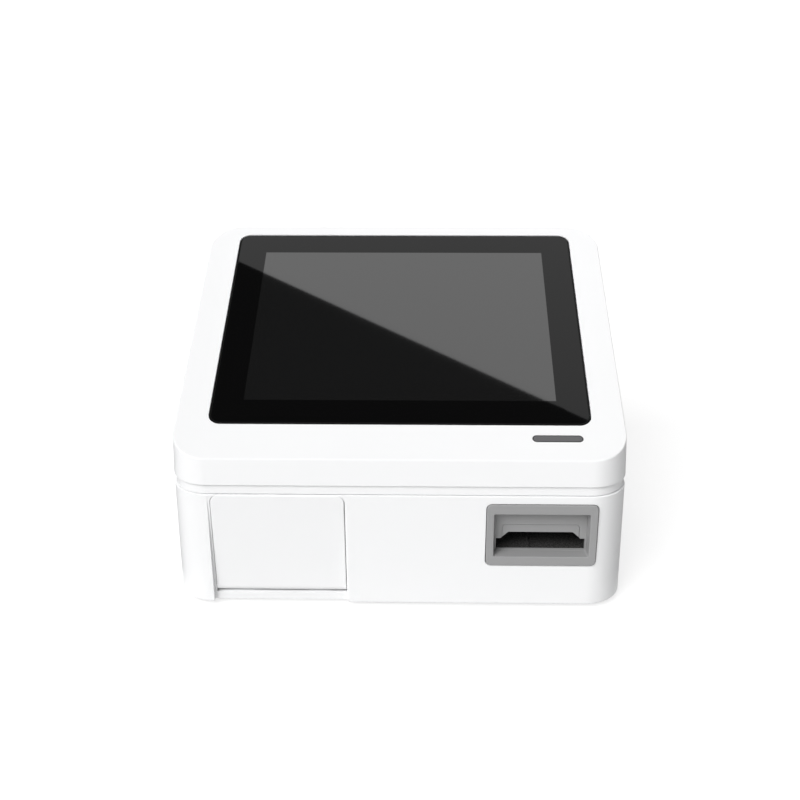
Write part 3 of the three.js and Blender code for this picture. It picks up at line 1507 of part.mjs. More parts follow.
function switchBody() {
  const x = rocker_outer_x;
  const z = rocker_outer_z;
  const body = block(-x, x, -rocker_body_depth, seam, -z, z);
  const flange = prism(roundedShape(-x - rocker_flange, x + rocker_flange, -z - rocker_flange,
    z + rocker_flange, rocker_flange), 'y', seam, seam + rocker_flange_depth, 1);
  const cavity = block(-x + rocker_wall, x - rocker_wall, -rocker_body_depth + rocker_wall, overrun,
    -z + rocker_wall, z - rocker_wall);
  return cut(joined(body, flange), cavity);
}

place('power_switch_body', switchBody(), black_plastic, rear_group, [switch_x, 0, rear_middle]);

// The rocker turns about an upright axis. At rest its left end, seen from behind, is pressed in.
function powerRocker() {
  const half = rocker_length / 2;
  const dip = rocker_depth * 0.7;
  const shape = new THREE.Shape();
  shape.moveTo(-half, 0);
  shape.lineTo(-half, rocker_depth);
  shape.quadraticCurveTo(0, dip, half, rocker_depth);
  shape.lineTo(half, 0);
  shape.lineTo(rocker_wall, -rocker_depth / 2);
  shape.lineTo(-rocker_wall, -rocker_depth / 2);
  shape.closePath();
  return prism(shape, 'z', -rocker_height / 2, rocker_height / 2);
}

place('power_rocker', powerRocker(), black_plastic, rear_group,
  [switch_x, seam + rocker_flange_depth - rocker_depth, rear_middle], [0, 0, -rocker_tilt]);

const io_board = block(io_board_left, io_board_right, io_front, io_back - seam,
  io_bottom, io_bottom + board_thickness);
place('io_board', io_board, board_green);

// Screws and feet at the four corners

const screw_profile = [
  [0, 0], [screw_head_radius, 0], [screw_head_radius, screw_head_height], [screw_radius, screw_head_height],
  [screw_radius, screw_length - screw_radius], [screw_radius / 2, screw_length], [0, screw_length],
];
const foot_profile = [
  [0, -foot_height], [foot_radius * 0.7, -foot_height], [foot_radius, -foot_height + foot_pocket],
  [foot_radius, foot_pocket - seam], [0, foot_pocket - seam],
];

atCorners((x, y, sx, sy) => {
  const side = `${sy < 0 ? 'front' : 'rear'}_${sx < 0 ? 'left' : 'right'}`;
  place(`housing_screw_${side}`, solidOf(turned(screw_profile, 12)), steel, housing,
    [x, y, screw_depth - seam - screw_head_height]);
  place(`foot_${side}`, solidOf(turned(foot_profile, 20)), rubber, housing,
    [sx * (half_width - foot_inset), sy * (half_depth - foot_inset), 0]);
});

analyzer.updateMatrixWorld(true);

export default analyzer;
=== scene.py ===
"""Looks of a bench-top blood gas analyzer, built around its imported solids.

Lengths in the tables and calls are millimetres and are turned into metres by MM. X runs to the
right, Y to the back, Z up, and the origin lies below the middle of the case on the table.
"""
import math

import bmesh
import bpy
from mathutils import Matrix, Vector


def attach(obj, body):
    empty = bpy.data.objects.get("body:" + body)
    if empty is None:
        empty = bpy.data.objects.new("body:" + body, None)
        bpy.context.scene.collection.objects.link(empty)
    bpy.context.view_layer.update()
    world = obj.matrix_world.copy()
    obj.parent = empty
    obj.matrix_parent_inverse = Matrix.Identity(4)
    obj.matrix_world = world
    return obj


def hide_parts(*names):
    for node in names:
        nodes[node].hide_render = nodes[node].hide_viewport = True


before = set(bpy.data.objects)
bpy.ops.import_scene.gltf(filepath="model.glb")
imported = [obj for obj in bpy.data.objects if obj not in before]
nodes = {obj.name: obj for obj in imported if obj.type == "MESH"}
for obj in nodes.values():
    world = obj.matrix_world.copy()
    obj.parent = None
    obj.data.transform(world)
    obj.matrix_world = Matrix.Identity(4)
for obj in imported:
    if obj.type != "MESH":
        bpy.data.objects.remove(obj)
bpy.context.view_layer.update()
scene = bpy.context.scene
MM = 0.001

# Sizes of the case

CASE_X = 115.0
CASE_Y = 87.2
CORNER = 18.0
FOOT = 2.5
SHELL_TOP = 62.9
COVER_BOTTOM = 68.55
FRONT_TOP = 82.9
SLOPE = math.radians(21.95)
RISE = math.tan(SLOPE)
COVER_FLARE = 0.8
SHELL_TOP_FLARE = 0.8
SHELL_FOOT_FLARE = 1.4
BAND_INSET = 0.2
WALL = 2.5
TOP_WALL = 3.6
EDGE = 0.6
BASE_EDGE = 1.0
SEAM = 0.3
OVER = 6.0
SQUARE = 0.1
TOP_SINK = 0.015
CORNER_STEPS = 20
BOSS_RADIUS = 4.5
POST_RADIUS = 3.0
HOLE_RADIUS = 1.8
ABOVE_CASE = 170.0
FEET_X, FEET_Y = 91.0, 63.2

# Meshes

WELD, FLATTEN = 0.004, math.radians(0.6)
SOLID_WELD, SOLID_FLATTEN = 0.002, math.radians(0.8)
ROUNDED_FROM = math.radians(35)


def new_object(name, mesh):
    obj = bpy.data.objects.new(name, mesh)
    scene.collection.objects.link(obj)
    return obj


def mesh_from(points, faces, name):
    mesh = bpy.data.meshes.new(name)
    mesh.from_pydata([Vector(p) * MM for p in points], [], faces)
    mesh.update()
    bm = bmesh.new()
    bm.from_mesh(mesh)
    bmesh.ops.recalc_face_normals(bm, faces=bm.faces)
    bm.to_mesh(mesh)
    bm.free()
    return mesh


def loft(rings, name="loft"):
    """Skins rings of equal point count and closes both ends."""
    count = len(rings[0])
    points = [p for ring in rings for p in ring]
    faces = []
    for r in range(len(rings) - 1):
        for i in range(count):
            a = r * count + i
            b = r * count + (i + 1) % count
            faces.append((a, b, b + count, a + count))
    last = (len(rings) - 1) * count
    faces.append(tuple(range(count))[::-1])
    faces.append(tuple(range(last, last + count)))
    return new_object(name, mesh_from(points, faces, name))


def rounded(x0, x1, y0, y1, radii, steps=10, grow=0.0):
    """A rectangle with its own radius at each corner, from the lower left one anticlockwise."""
    if not isinstance(radii, (list, tuple)):
        radii = [radii] * 4
    x0, x1, y0, y1 = x0 - grow, x1 + grow, y0 - grow, y1 + grow
    radii = [max(r + grow, 0.02) for r in radii]
    centres = [(x0, y0, 1, 1), (x1, y0, -1, 1), (x1, y1, -1, -1), (x0, y1, 1, -1)]
    ring = []
    for quarter, ((x, y, sx, sy), r) in enumerate(zip(centres, radii)):
        for i in range(steps + 1):
            angle = math.pi * (1 + quarter / 2) + math.pi / 2 * i / steps
            ring.append((x + sx * r + r * math.cos(angle), y + sy * r + r * math.sin(angle)))
    return ring


def disc(x, y, radius, steps=32):
    return [(x + radius * math.cos(2 * math.pi * i / steps),
             y + radius * math.sin(2 * math.pi * i / steps)) for i in range(steps)]


def on_axis(ring, axis, place):
    """Lays an outline at a place on an axis: x takes (y, z), y takes (x, z), z takes (x, y)."""
    if axis == "x":
        return [(place, a, b) for a, b in ring]
    if axis == "y":
        return [(a, place, b) for a, b in ring]
    return [(a, b, place) for a, b in ring]


def prism(ring, axis, start, end):
    return loft([on_axis(ring, axis, start), on_axis(ring, axis, end)], "prism")


def layered(outline, axis, layers):
    """outline(grow) gives a ring; layers are (grow, place) pairs along the axis."""
    return loft([on_axis(outline(grow), axis, place) for grow, place in layers], "layered")


def block(x0, x1, y0, y1, z0, z1, name="block"):
    return loft([[(x0, y0, z), (x1, y0, z), (x1, y1, z), (x0, y1, z)] for z in (z0, z1)], name)


def turned(profile, steps):
    """A solid turned about Z from (radius, height) pairs that start and end on the axis."""
    points, faces = [], []
    inner = profile[1:-1]
    for i in range(steps):
        angle = 2 * math.pi * i / steps
        points += [(r * math.cos(angle), r * math.sin(angle), z) for r, z in inner]
    low, high = len(points), len(points) + 1
    points += [(0, 0, profile[0][1]), (0, 0, profile[-1][1])]
    n = len(inner)
    for i in range(steps):
        a, b = i * n, (i + 1) % steps * n
        faces.append((low, b, a))
        faces += [(a + k, b + k, b + k + 1, a + k + 1) for k in range(n - 1)]
        faces.append((high, a + n - 1, b + n - 1))
    return new_object("turned", mesh_from(points, faces, "turned"))


def moved(obj, matrix):
    obj.data.transform(matrix)
    return obj


def at(x, y, z, turn=None):
    matrix = Matrix.Translation(Vector((x, y, z)) * MM)
    return matrix @ turn if turn else matrix


def boolean(target, tools, operation):
    """Joins or cuts with solids and deletes them afterwards."""
    group = bpy.data.collections.new("tools")
    for tool in tools:
        group.objects.link(tool)
    mod = target.modifiers.new("boolean", "BOOLEAN")
    mod.operation = operation
    mod.solver = "MANIFOLD"
    mod.operand_type = "COLLECTION"
    mod.collection = group
    applied(target)
    for tool in tools:
        bpy.data.objects.remove(tool)
    bpy.data.collections.remove(group)
    return target


def applied(obj):
    bpy.context.view_layer.update()
    graph = bpy.context.evaluated_depsgraph_get()
    mesh = bpy.data.meshes.new_from_object(obj.evaluated_get(graph))
    obj.modifiers.clear()
    obj.data = mesh
    return obj


def cut(target, *tools):
    return boolean(target, tools, "DIFFERENCE")


def joined(target, *tools):
    return boolean(target, tools, "UNION")


def smooth(obj, angle=32):
    """Cleans a mesh, shades it smooth up to an angle and keeps its flat faces flat."""
    bm = bmesh.new()
    bm.from_mesh(obj.data)
    bmesh.ops.remove_doubles(bm, verts=bm.verts, dist=WELD * MM)
    bmesh.ops.dissolve_limit(bm, angle_limit=FLATTEN, verts=bm.verts, edges=bm.edges)
    bm.to_mesh(obj.data)
    bm.free()
    obj.data.shade_smooth()
    obj.data.set_sharp_from_angle(angle=math.radians(angle))
    mod = obj.modifiers.new("normals", "WEIGHTED_NORMAL")
    mod.keep_sharp = True
    return obj


def finished(obj, name, body, material, slot, *replaced):
    """Names a piece, gives it its materials and lets it ride on a body; its slot is not used."""
    obj.name = name
    obj.data.name = name
    chosen = [face.material_index for face in obj.data.polygons]
    obj.data.materials.clear()
    for each in material if isinstance(material, tuple) else (material,):
        obj.data.materials.append(each)
    for face, index in zip(obj.data.polygons, chosen):
        face.material_index = min(index, len(obj.data.materials) - 1)
    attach(obj, body)
    if replaced:
        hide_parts(*replaced)
    return obj


def refined(node, body, material, slot, width, second=None):
    """A copy of a solid with its edges rounded, which stands for it."""
    mesh = nodes[node].data.copy()
    obj = new_object(node + "_piece", mesh)
    bm = bmesh.new()
    bm.from_mesh(mesh)
    bmesh.ops.remove_doubles(bm, verts=bm.verts, dist=SOLID_WELD * MM)
    bmesh.ops.dissolve_limit(bm, angle_limit=SOLID_FLATTEN, verts=bm.verts, edges=bm.edges)
    limit = width * MM * 2.2
    chosen = []
    for edge in bm.edges:
        if len(edge.link_faces) != 2 or edge.calc_face_angle(0) < ROUNDED_FROM:
            continue
        near = [e for v in edge.verts for e in v.link_edges]
        if min(e.calc_length() for e in near) > limit:
            chosen.append(edge)
    if chosen:
        bmesh.ops.bevel(bm, geom=chosen, offset=width * MM, segments=2, profile=0.5,
                        affect="EDGES", clamp_overlap=False)
    for face in bm.faces:
        face.material_index = 1 if second and second(face.calc_center_median() / MM) else 0
    bm.to_mesh(mesh)
    bm.free()
    smooth(obj)
    return finished(obj, obj.name, body, material, slot, node)


# Materials


def principled(name, color, roughness, metallic=0.0, **inputs):
    mat = bpy.data.materials.new(name)
    mat.use_nodes = True
    mat.diffuse_color = (*color, 1)
    shader = mat.node_tree.nodes["Principled BSDF"]
    shader.inputs["Base Color"].default_value = (*color, 1)
    shader.inputs["Roughness"].default_value = roughness
    shader.inputs["Metallic"].default_value = metallic
    for key, value in inputs.items():
        shader.inputs[key.replace("_", " ")].default_value = value
    return mat, shader


def add(owner, kind, **values):
    """Adds a node to the tree of a material or the world, and sets its inputs or settings."""
    node = owner.node_tree.nodes.new(kind)
    for key, value in values.items():
        if key in node.inputs:
            node.inputs[key].default_value = value
        else:
            setattr(node, key, value)
    return node


def link(owner, output, socket):
    owner.node_tree.links.new(output, socket)


def object_coordinates(mat, scale=(1, 1, 1)):
    source = add(mat, "ShaderNodeTexCoord")
    mapping = add(mat, "ShaderNodeMapping")
    mapping.inputs["Scale"].default_value = scale
    link(mat, source.outputs["Object"], mapping.inputs["Vector"])
    return mapping.outputs["Vector"]


def noise(mat, vector, scale, detail):
    node = add(mat, "ShaderNodeTexNoise", Scale=scale, Detail=detail)
    link(mat, vector, node.inputs["Vector"])
    return node.outputs["Fac"]


def ranged(owner, low, high, level, socket):
    """Feeds a socket with values between low and high as a level goes from 0 to 1."""
    node = add(owner, "ShaderNodeMapRange")
    node.inputs["To Min"].default_value = low
    node.inputs["To Max"].default_value = high
    link(owner, level, node.inputs["Value"])
    link(owner, node.outputs["Result"], socket)


def blended(owner, low, high, level, socket):
    """Feeds a socket with colours between low and high as a level goes from 0 to 1."""
    node = add(owner, "ShaderNodeMix", data_type="RGBA")
    node.inputs[6].default_value = (*low, 1)
    node.inputs[7].default_value = (*high, 1)
    link(owner, level, node.inputs[0])
    link(owner, node.outputs[2], socket)


def bumped(mat, shader, height, distance):
    node = add(mat, "ShaderNodeBump", Distance=distance)
    link(mat, height, node.inputs["Height"])
    link(mat, node.outputs["Normal"], shader.inputs["Normal"])


def seen_by(owner, *kinds):
    """A level of 1 for the named kinds of ray and of 0 for all others."""
    path = add(owner, "ShaderNodeLightPath")
    level = path.outputs[f"Is {kinds[0]} Ray"]
    for kind in kinds[1:]:
        either = add(owner, "ShaderNodeMath", operation="MAXIMUM")
        link(owner, level, either.inputs[0])
        link(owner, path.outputs[f"Is {kind} Ray"], either.inputs[1])
        level = either.outputs[0]
    return level


def grained(mat, shader, color, roughness, grain, bump, tint, scale, spread=0.05):
    """Fine grain in the surface, with slow changes of tone and gloss."""
    vector = object_coordinates(mat, scale)
    fine, slow = noise(mat, vector, grain, 3.0), noise(mat, vector, 24.0, 4.0)
    ranged(mat, max(roughness - spread, 0.02), roughness + spread, slow, shader.inputs["Roughness"])
    blended(mat, [c * (1 - tint) for c in color], [min(c * (1 + tint), 1) for c in color], slow,
            shader.inputs["Base Color"])
    bumped(mat, shader, fine, bump)
    return mat


def plastic(name, color, roughness, grain=2600, bump=0.00002, tint=0.015, scale=(1, 1, 1), **inputs):
    mat, shader = principled(name, color, roughness, **inputs)
    return grained(mat, shader, color, roughness, grain, bump, tint, scale)


def metal(name, color, roughness, scale=(1, 1, 1)):
    mat, shader = principled(name, color, roughness, metallic=1.0)
    return grained(mat, shader, color, roughness, 900, 0.00001, 0.05, scale, spread=0.09)


def grainy(name, dark, light, roughness, grain):
    """A coarse moulded grain whose crests are lighter than its pits."""
    mat, shader = principled(name, dark, roughness)
    fine = noise(mat, object_coordinates(mat), grain, 1.0)
    ramp = add(mat, "ShaderNodeValToRGB")
    for element, position, color in zip(ramp.color_ramp.elements, (0.4, 0.68), (dark, light)):
        element.position = position
        element.color = (*color, 1)
    link(mat, fine, ramp.inputs["Fac"])
    link(mat, ramp.outputs["Color"], shader.inputs["Base Color"])
    bumped(mat, shader, fine, 0.00012)
    return mat


WHITE = plastic("white_case", (0.885, 0.888, 0.893), 0.36, bump=0.000012, tint=0.006,
                Specular_IOR_Level=0.45)
LIGHT_GREY = plastic("light_grey_plastic", (0.47, 0.48, 0.49), 0.45)
SLOT_GREY = plastic("slot_grey_plastic", (0.305, 0.305, 0.307), 0.46, grain=1800, bump=0.00002)
BLACK = plastic("black_plastic", (0.018, 0.018, 0.019), 0.5, grain=1500, bump=0.00004, tint=0.1)
GUIDE_BLACK = grainy("grainy_black", (0.013, 0.013, 0.013), (0.082, 0.08, 0.078), 0.66, 1300)
LENS = plastic("smoke_lens", (0.125, 0.125, 0.128), 0.28, grain=500, bump=0.00001)
STEEL = metal("bright_steel", (0.56, 0.57, 0.58), 0.28, scale=(1, 14, 1))
ALUMINIUM = metal("milled_aluminium", (0.66, 0.67, 0.68), 0.36, scale=(12, 1, 1))
BRASS = metal("gold_brass", (0.72, 0.5, 0.2), 0.27)
RUBBER = plastic("black_rubber", (0.022, 0.022, 0.022), 0.82, grain=1200, bump=0.0001, tint=0.12)
CARD = plastic("brown_card", (0.36, 0.22, 0.11), 0.85, grain=900, bump=0.00008, tint=0.12)
BOARD = plastic("solder_mask", (0.012, 0.09, 0.042), 0.34, grain=500, bump=0.00002, tint=0.2)
WRAP = plastic("blue_film", (0.03, 0.11, 0.3), 0.2, grain=260, bump=0.00012, tint=0.1)
ACETAL = plastic("natural_acetal", (0.74, 0.72, 0.66), 0.34)
PAPER = plastic("thermal_paper", (0.84, 0.83, 0.8), 0.7, grain=1500, bump=0.00003, tint=0.03,
                scale=(0.15, 1, 1))


def glass_material(name, color, ior, roughness):
    mat, shader = principled(name, color, roughness, IOR=ior)
    slow = noise(mat, object_coordinates(mat), 9.0, 2.0)
    ranged(mat, roughness, roughness + 0.012, slow, shader.inputs["Roughness"])
    return mat


GLASS = glass_material("printed_glass", (0.0032, 0.0032, 0.0033), 1.37, 0.015)
DISPLAY = glass_material("display_area", (0.009, 0.0091, 0.0092), 2.0, 0.02)
GLASS_EDGE = plastic("ground_glass_edge", (0.006, 0.006, 0.006), 0.6, grain=1500, bump=0.00001, tint=0.1,
                     Specular_IOR_Level=0.15)

for material, names in (
    (WHITE, "mid_frame lower_shell top_cover printer_door"),
    (LIGHT_GREY, "contact_head pouch_plunger rear_panel battery_cover"),
    (SLOT_GREY, "slot_bezel"),
    (BLACK, "display_panel cartridge_switch code_scanner speaker fan_frame fan_rotor power_rocker "
            "power_inlet power_switch_body paper_bucket"),
    (GUIDE_BLACK, "cartridge_guide"),
    (STEEL, "display_bracket door_hinge_pin feed_motor contact_motor plunger_motor contact_lead_screw "
            "plunger_lead_screw switch_lever usb_port_1 usb_port_2 network_port housing_screw_front_left "
            "housing_screw_front_right housing_screw_rear_left housing_screw_rear_right"),
    (ALUMINIUM, "print_head heater_plate clamp_frame heat_sink"),
    (BRASS, "contact_strip motor_pinion"),
    (RUBBER, "platen_roller foot_front_left foot_front_right foot_rear_left foot_rear_right"),
    (CARD, "display_ribbon roll_core"),
    (BOARD, "status_light_board main_board power_board io_board"),
    (WRAP, "battery_pack"),
    (ACETAL, "platen_gear idler_gear"),
    (PAPER, "paper_roll"),
    (GLASS, "cover_glass"),
    (LENS, "status_light"),
):
    for name in names.split():
        mesh = nodes[name].data
        mesh.materials.clear()
        mesh.materials.append(material)

# Case


def case_ring(outset, height):
    """The plan outline of the case, moved outwards, at a height or on a function of Y."""
    ring = []
    radius = CORNER + outset
    x, y = CASE_X - CORNER, CASE_Y - CORNER
    for quarter, (cx, cy) in enumerate(((x, y), (-x, y), (-x, -y), (x, -y))):
        for i in range(CORNER_STEPS + 1):
            angle = (quarter + i / CORNER_STEPS) * math.pi / 2
            px, py = cx + radius * math.cos(angle), cy + radius * math.sin(angle)
            ring.append((px, py, (height(py) if callable(height) else height) + FOOT))
    return ring


def top_surface(drop):
    return lambda y: FRONT_TOP + (y + CASE_Y) * RISE - drop - TOP_SINK


TOP = at(0, -CASE_Y, FRONT_TOP + FOOT, Matrix.Rotation(SLOPE, 4, "X"))


def quarter_arc(radius, steps):
    """(inwards, downwards) from a vertical wall to a level face."""
    return [(radius * (1 - math.cos(a)), radius * (1 - math.sin(a)))
            for a in (math.pi / 2 * i / steps for i in range(steps + 1))]


def flared(outline, axis, deep, shallow, outer, edge, steps=5):
    """A cutter with a rounded lip: straight from deep to shallow, then flared by edge."""
    way = 1 if outer > deep else -1
    layers = [(0, deep)]
    for inwards, down in quarter_arc(edge, steps):
        layers.append((inwards, shallow - way * down))
    layers.append((edge, outer))
    return layered(outline, axis, layers)


GLASS_HALF_X = 98.1
GLASS_HALF_Y = 77.8
GLASS_MIDDLE = 102.1
GLASS_CORNER = 6.4
GLASS_THICK = 1.9
GLASS_GAP = 0.25
LEDGE = 5.0
LIGHT_X = 80.1
LIGHT_Y = 14.9
LIGHT_HALF_X = 12.6
LIGHT_HALF_Y = 2.1


def glass_outline(grow):
    return rounded(-GLASS_HALF_X, GLASS_HALF_X, GLASS_MIDDLE - GLASS_HALF_Y,
                   GLASS_MIDDLE + GLASS_HALF_Y, GLASS_CORNER, 14, grow)


def light_outline(grow):
    return rounded(LIGHT_X - LIGHT_HALF_X, LIGHT_X + LIGHT_HALF_X, LIGHT_Y - LIGHT_HALF_Y,
                   LIGHT_Y + LIGHT_HALF_Y, LIGHT_HALF_Y, 12, grow)


BOSS_X = CASE_X - 11.5
BOSS_Y = CASE_Y - 15.2
CORNERS = ((-1, -1, "front_left"), (1, -1, "front_right"), (1, 1, "rear_right"), (-1, 1, "rear_left"))


def at_corners(make):
    return [make(sx * BOSS_X, sy * BOSS_Y) for sx, sy, _ in CORNERS]


FAN_X, FAN_Z = -62.0, 104.0 + FOOT
GRILLE_ROWS, GRILLE_PITCH, GRILLE_SLOT = 7, 5.0, 2.4
GRILLE_RADIUS = 16.4
RIB_HALF = 0.9
MOUNT_X, MOUNT_Y = 102.1, 55.0
MOUNT_HALF = 5.0
MOUNT_LOW, MOUNT_HIGH = -7.7, -2.2
COVER_PILOT_TOP = 78.0


def top_cover():
    rounding = [case_ring(-inwards, top_surface(down)) for inwards, down in quarter_arc(EDGE, 8)]
    lip = 0.15
    foot = [case_ring(COVER_FLARE - lip + lip * math.sin(a), COVER_BOTTOM + lip - lip * math.cos(a))
            for a in (math.pi / 2 * i / 4 for i in range(5))]
    shell = loft(foot + rounding)
    inner = loft([
        case_ring(COVER_FLARE - WALL, COVER_BOTTOM - OVER),
        case_ring(COVER_FLARE - WALL, COVER_BOTTOM),
        case_ring(-WALL, top_surface(TOP_WALL / math.cos(SLOPE))),
    ])
    window = prism(rounded(-GLASS_HALF_X + LEDGE, GLASS_HALF_X - LEDGE,
                           GLASS_MIDDLE - GLASS_HALF_Y + LEDGE, GLASS_MIDDLE + GLASS_HALF_Y - LEDGE,
                           LEDGE / 2), "z", -TOP_WALL - OVER, 0)
    recess = flared(lambda g: glass_outline(GLASS_GAP + g), "z", -GLASS_THICK - SEAM, 0, OVER, 0.3)
    light = flared(lambda g: light_outline(GLASS_GAP + g), "z", -TOP_WALL - OVER, 0, OVER, 0.1, 3)
    tools = [moved(tool, TOP) for tool in (window, recess, light)]
    for row in range(GRILLE_ROWS):
        height = (row - (GRILLE_ROWS - 1) / 2) * GRILLE_PITCH
        half = math.sqrt(GRILLE_RADIUS ** 2 - height ** 2)
        z = FAN_Z + height
        share = (z - FOOT - COVER_BOTTOM) / (FRONT_TOP + 2 * CASE_Y * RISE - COVER_BOTTOM)
        face = CASE_Y + COVER_FLARE * (1 - share)
        outline = lambda g, z=z, half=half: rounded(
            FAN_X - half, FAN_X + half, z - GRILLE_SLOT / 2, z + GRILLE_SLOT / 2, GRILLE_SLOT / 2, 6, g)
        tools.append(flared(outline, "y", CASE_Y - OVER, face, CASE_Y + OVER, 0.35))
    shell = cut(shell, inner)
    into_wall = 0.5
    body = loft([case_ring(COVER_FLARE - WALL + into_wall, COVER_BOTTOM),
                 case_ring(-WALL + into_wall, top_surface(TOP_WALL - into_wall))])
    inside = at_corners(lambda x, y: prism(disc(x, y, BOSS_RADIUS), "z", COVER_BOTTOM + FOOT, ABOVE_CASE))
    for sx, sy, _ in CORNERS:
        near, far = sorted((sx * BOSS_X, sx * (CASE_X - WALL / 2)))
        inside.append(block(near, far, sy * BOSS_Y - RIB_HALF, sy * BOSS_Y + RIB_HALF,
                            COVER_BOTTOM + BOSS_RADIUS + FOOT, ABOVE_CASE))
        x, y = sx * MOUNT_X, GLASS_MIDDLE + sy * MOUNT_Y
        inside.append(moved(block(x - MOUNT_HALF, x + MOUNT_HALF, y - MOUNT_HALF, y + MOUNT_HALF,
                                  MOUNT_LOW, MOUNT_HIGH), TOP))
    inside = boolean(joined(inside[0], *inside[1:]), [body], "INTERSECT")
    pilots = at_corners(lambda x, y: prism(disc(x, y, HOLE_RADIUS, 24), "z", COVER_BOTTOM - OVER,
                                           COVER_PILOT_TOP + FOOT))
    return smooth(cut(joined(shell, inside), *tools, *pilots))


finished(top_cover(), "top_cover_piece", "chassis", WHITE, "white_plastic", "top_cover")


BOARD_POSTS = ((-80, -6.3), (40, -6.3), (40, 71.7), (-80, 71.7))
BOARD_POST_HEIGHT = 6.5
DECK_WINDOWS = ((59.7, 85.7, -72.4, -19.4), (-51.5, 11.5, 11.7, 53.7), (-77.4, -45.5, -61.5, -18))
DECK_WINDOW_CORNER = 6.0
BAND_WALL = 3.0
DECK = 2.0


def mid_frame():
    bottom, top = SHELL_TOP + SEAM, COVER_BOTTOM - SEAM
    lip = 0.25
    outer = loft([case_ring(-BAND_INSET - lip, bottom), case_ring(-BAND_INSET, bottom + lip),
                  case_ring(-BAND_INSET, top - lip), case_ring(-BAND_INSET - lip, top)])
    inner = loft([case_ring(-BAND_INSET - BAND_WALL, bottom + DECK),
                  case_ring(-BAND_INSET - BAND_WALL, top + OVER)])
    windows = [prism(rounded(*sides, DECK_WINDOW_CORNER), "z", bottom, bottom + 2 * OVER)
               for sides in DECK_WINDOWS]
    bosses = at_corners(lambda x, y: prism(disc(x, y, BOSS_RADIUS), "z", bottom + FOOT, top + FOOT))
    posts = [prism(disc(x, y, POST_RADIUS), "z", bottom + FOOT, bottom + FOOT + BOARD_POST_HEIGHT)
             for x, y in BOARD_POSTS]
    holes = at_corners(lambda x, y: prism(disc(x, y, HOLE_RADIUS, 24), "z", bottom, top + 2 * OVER))
    return smooth(cut(joined(cut(outer, inner), *bosses, *posts), *windows, *holes))


finished(mid_frame(), "mid_frame_piece", "chassis", WHITE, "white_plastic", "mid_frame")

# Glass with its display area, and the status light

DISPLAY_X = (-81.4, 81.1)
DISPLAY_Y = (41.3, 163.2)


def cover_glass():
    chamfer, edge = 0.25, 1.0
    layers = [(-chamfer, -GLASS_THICK), (0, -GLASS_THICK + chamfer)]
    layers += [(-inwards, -down) for inwards, down in quarter_arc(edge, 6)]
    slab = layered(glass_outline, "z", layers)
    bm = bmesh.new()
    bm.from_mesh(slab.data)
    bm.faces.ensure_lookup_table()
    top = max(bm.faces, key=lambda f: (len(f.verts) > 20, f.calc_center_median().z))
    ring = list(top.verts)
    (x0, x1), (y0, y1) = DISPLAY_X, DISPLAY_Y
    inside = [bm.verts.new(Vector(p) * MM) for p in ((x0, y0, 0), (x1, y0, 0), (x1, y1, 0), (x0, y1, 0))]
    bmesh.ops.delete(bm, geom=[top], context="FACES_ONLY")
    window = bm.faces.new(inside)
    window.material_index = 1
    nearest = [min(range(len(ring)), key=lambda i: (ring[i].co - v.co).length) for v in inside]
    count = len(ring)
    way = 1 if (nearest[1] - nearest[0]) % count < count / 2 else -1
    for k in range(4):
        a, b = nearest[k], nearest[(k + 1) % 4]
        span = []
        i = a
        while i != b:
            span.append(ring[i])
            i = (i + way) % count
        span.append(ring[b])
        bm.faces.new(span + [inside[(k + 1) % 4], inside[k]])
    bmesh.ops.recalc_face_normals(bm, faces=bm.faces)
    for face in bm.faces:
        if 3 < len(face.verts) < 5 and abs(face.normal.z) < 0.999:
            face.material_index = 2
    bm.to_mesh(slab.data)
    bm.free()
    slab.data.shade_smooth()
    slab.data.set_sharp_from_angle(angle=math.radians(40))
    slab.modifiers.new("normals", "WEIGHTED_NORMAL").keep_sharp = True
    return moved(slab, TOP)


finished(cover_glass(), "cover_glass_piece", "chassis", (GLASS, DISPLAY, GLASS_EDGE), "black_glass",
         "cover_glass")


def status_light():
    flange, flange_top, flange_bottom, plug_bottom = 1.2, -3.9, -5.1, -6.1
    dome, dome_spread = 0.5, 1.6
    layers = [(0, plug_bottom), (0, flange_bottom), (flange, flange_bottom), (flange, flange_top),
              (0, flange_top)]
    layers += [(-inwards * dome_spread, -down) for inwards, down in quarter_arc(dome, 5)]
    return moved(smooth(layered(light_outline, "z", layers), angle=40), TOP)


finished(status_light(), "status_light_piece", "chassis", LENS, "smoke_lens", "status_light")

# Printer door, in a leaning frame whose Y runs into the case

RECESS_FOOT = -85.3
RECESS_LEAN = 2.7
DOOR_TILT = math.atan2(RECESS_LEAN, SHELL_TOP)
DOOR_FOOT = 4.6
DOOR = at(0, RECESS_FOOT - RECESS_LEAN * DOOR_FOOT / SHELL_TOP, DOOR_FOOT + FOOT,
          Matrix.Rotation(DOOR_TILT, 4, "X"))
DOOR_LEFT, DOOR_RIGHT = -95.4, -27.5
DOOR_HEIGHT = 58.2
DOOR_CORNER = 4.3
DOOR_THICK = 2.4
HINGE = 3.4
PLATEN_Y, PLATEN_Z = 9.6, 51.4
BORE_RADIUS = 1.8
BARREL_LEFTS, BARREL_LENGTH = (-87.4, -47.5), 12.0
ARM_THICK, ARM_RADIUS, ARM_FOOT = 1.8, 3.6, 9.0
ARM_INSETS = (0.8, 2.6)
INNER_FACE = 1.2
DOOR_RIB_HALF, DOOR_RIB_DEEP, DOOR_RIB_LOW, DOOR_RIB_HIGH = 0.9, 4.2, 6.8, 46.9
SKIRT_FOOT, SKIRT_TOP = 0.15, HINGE + 0.8


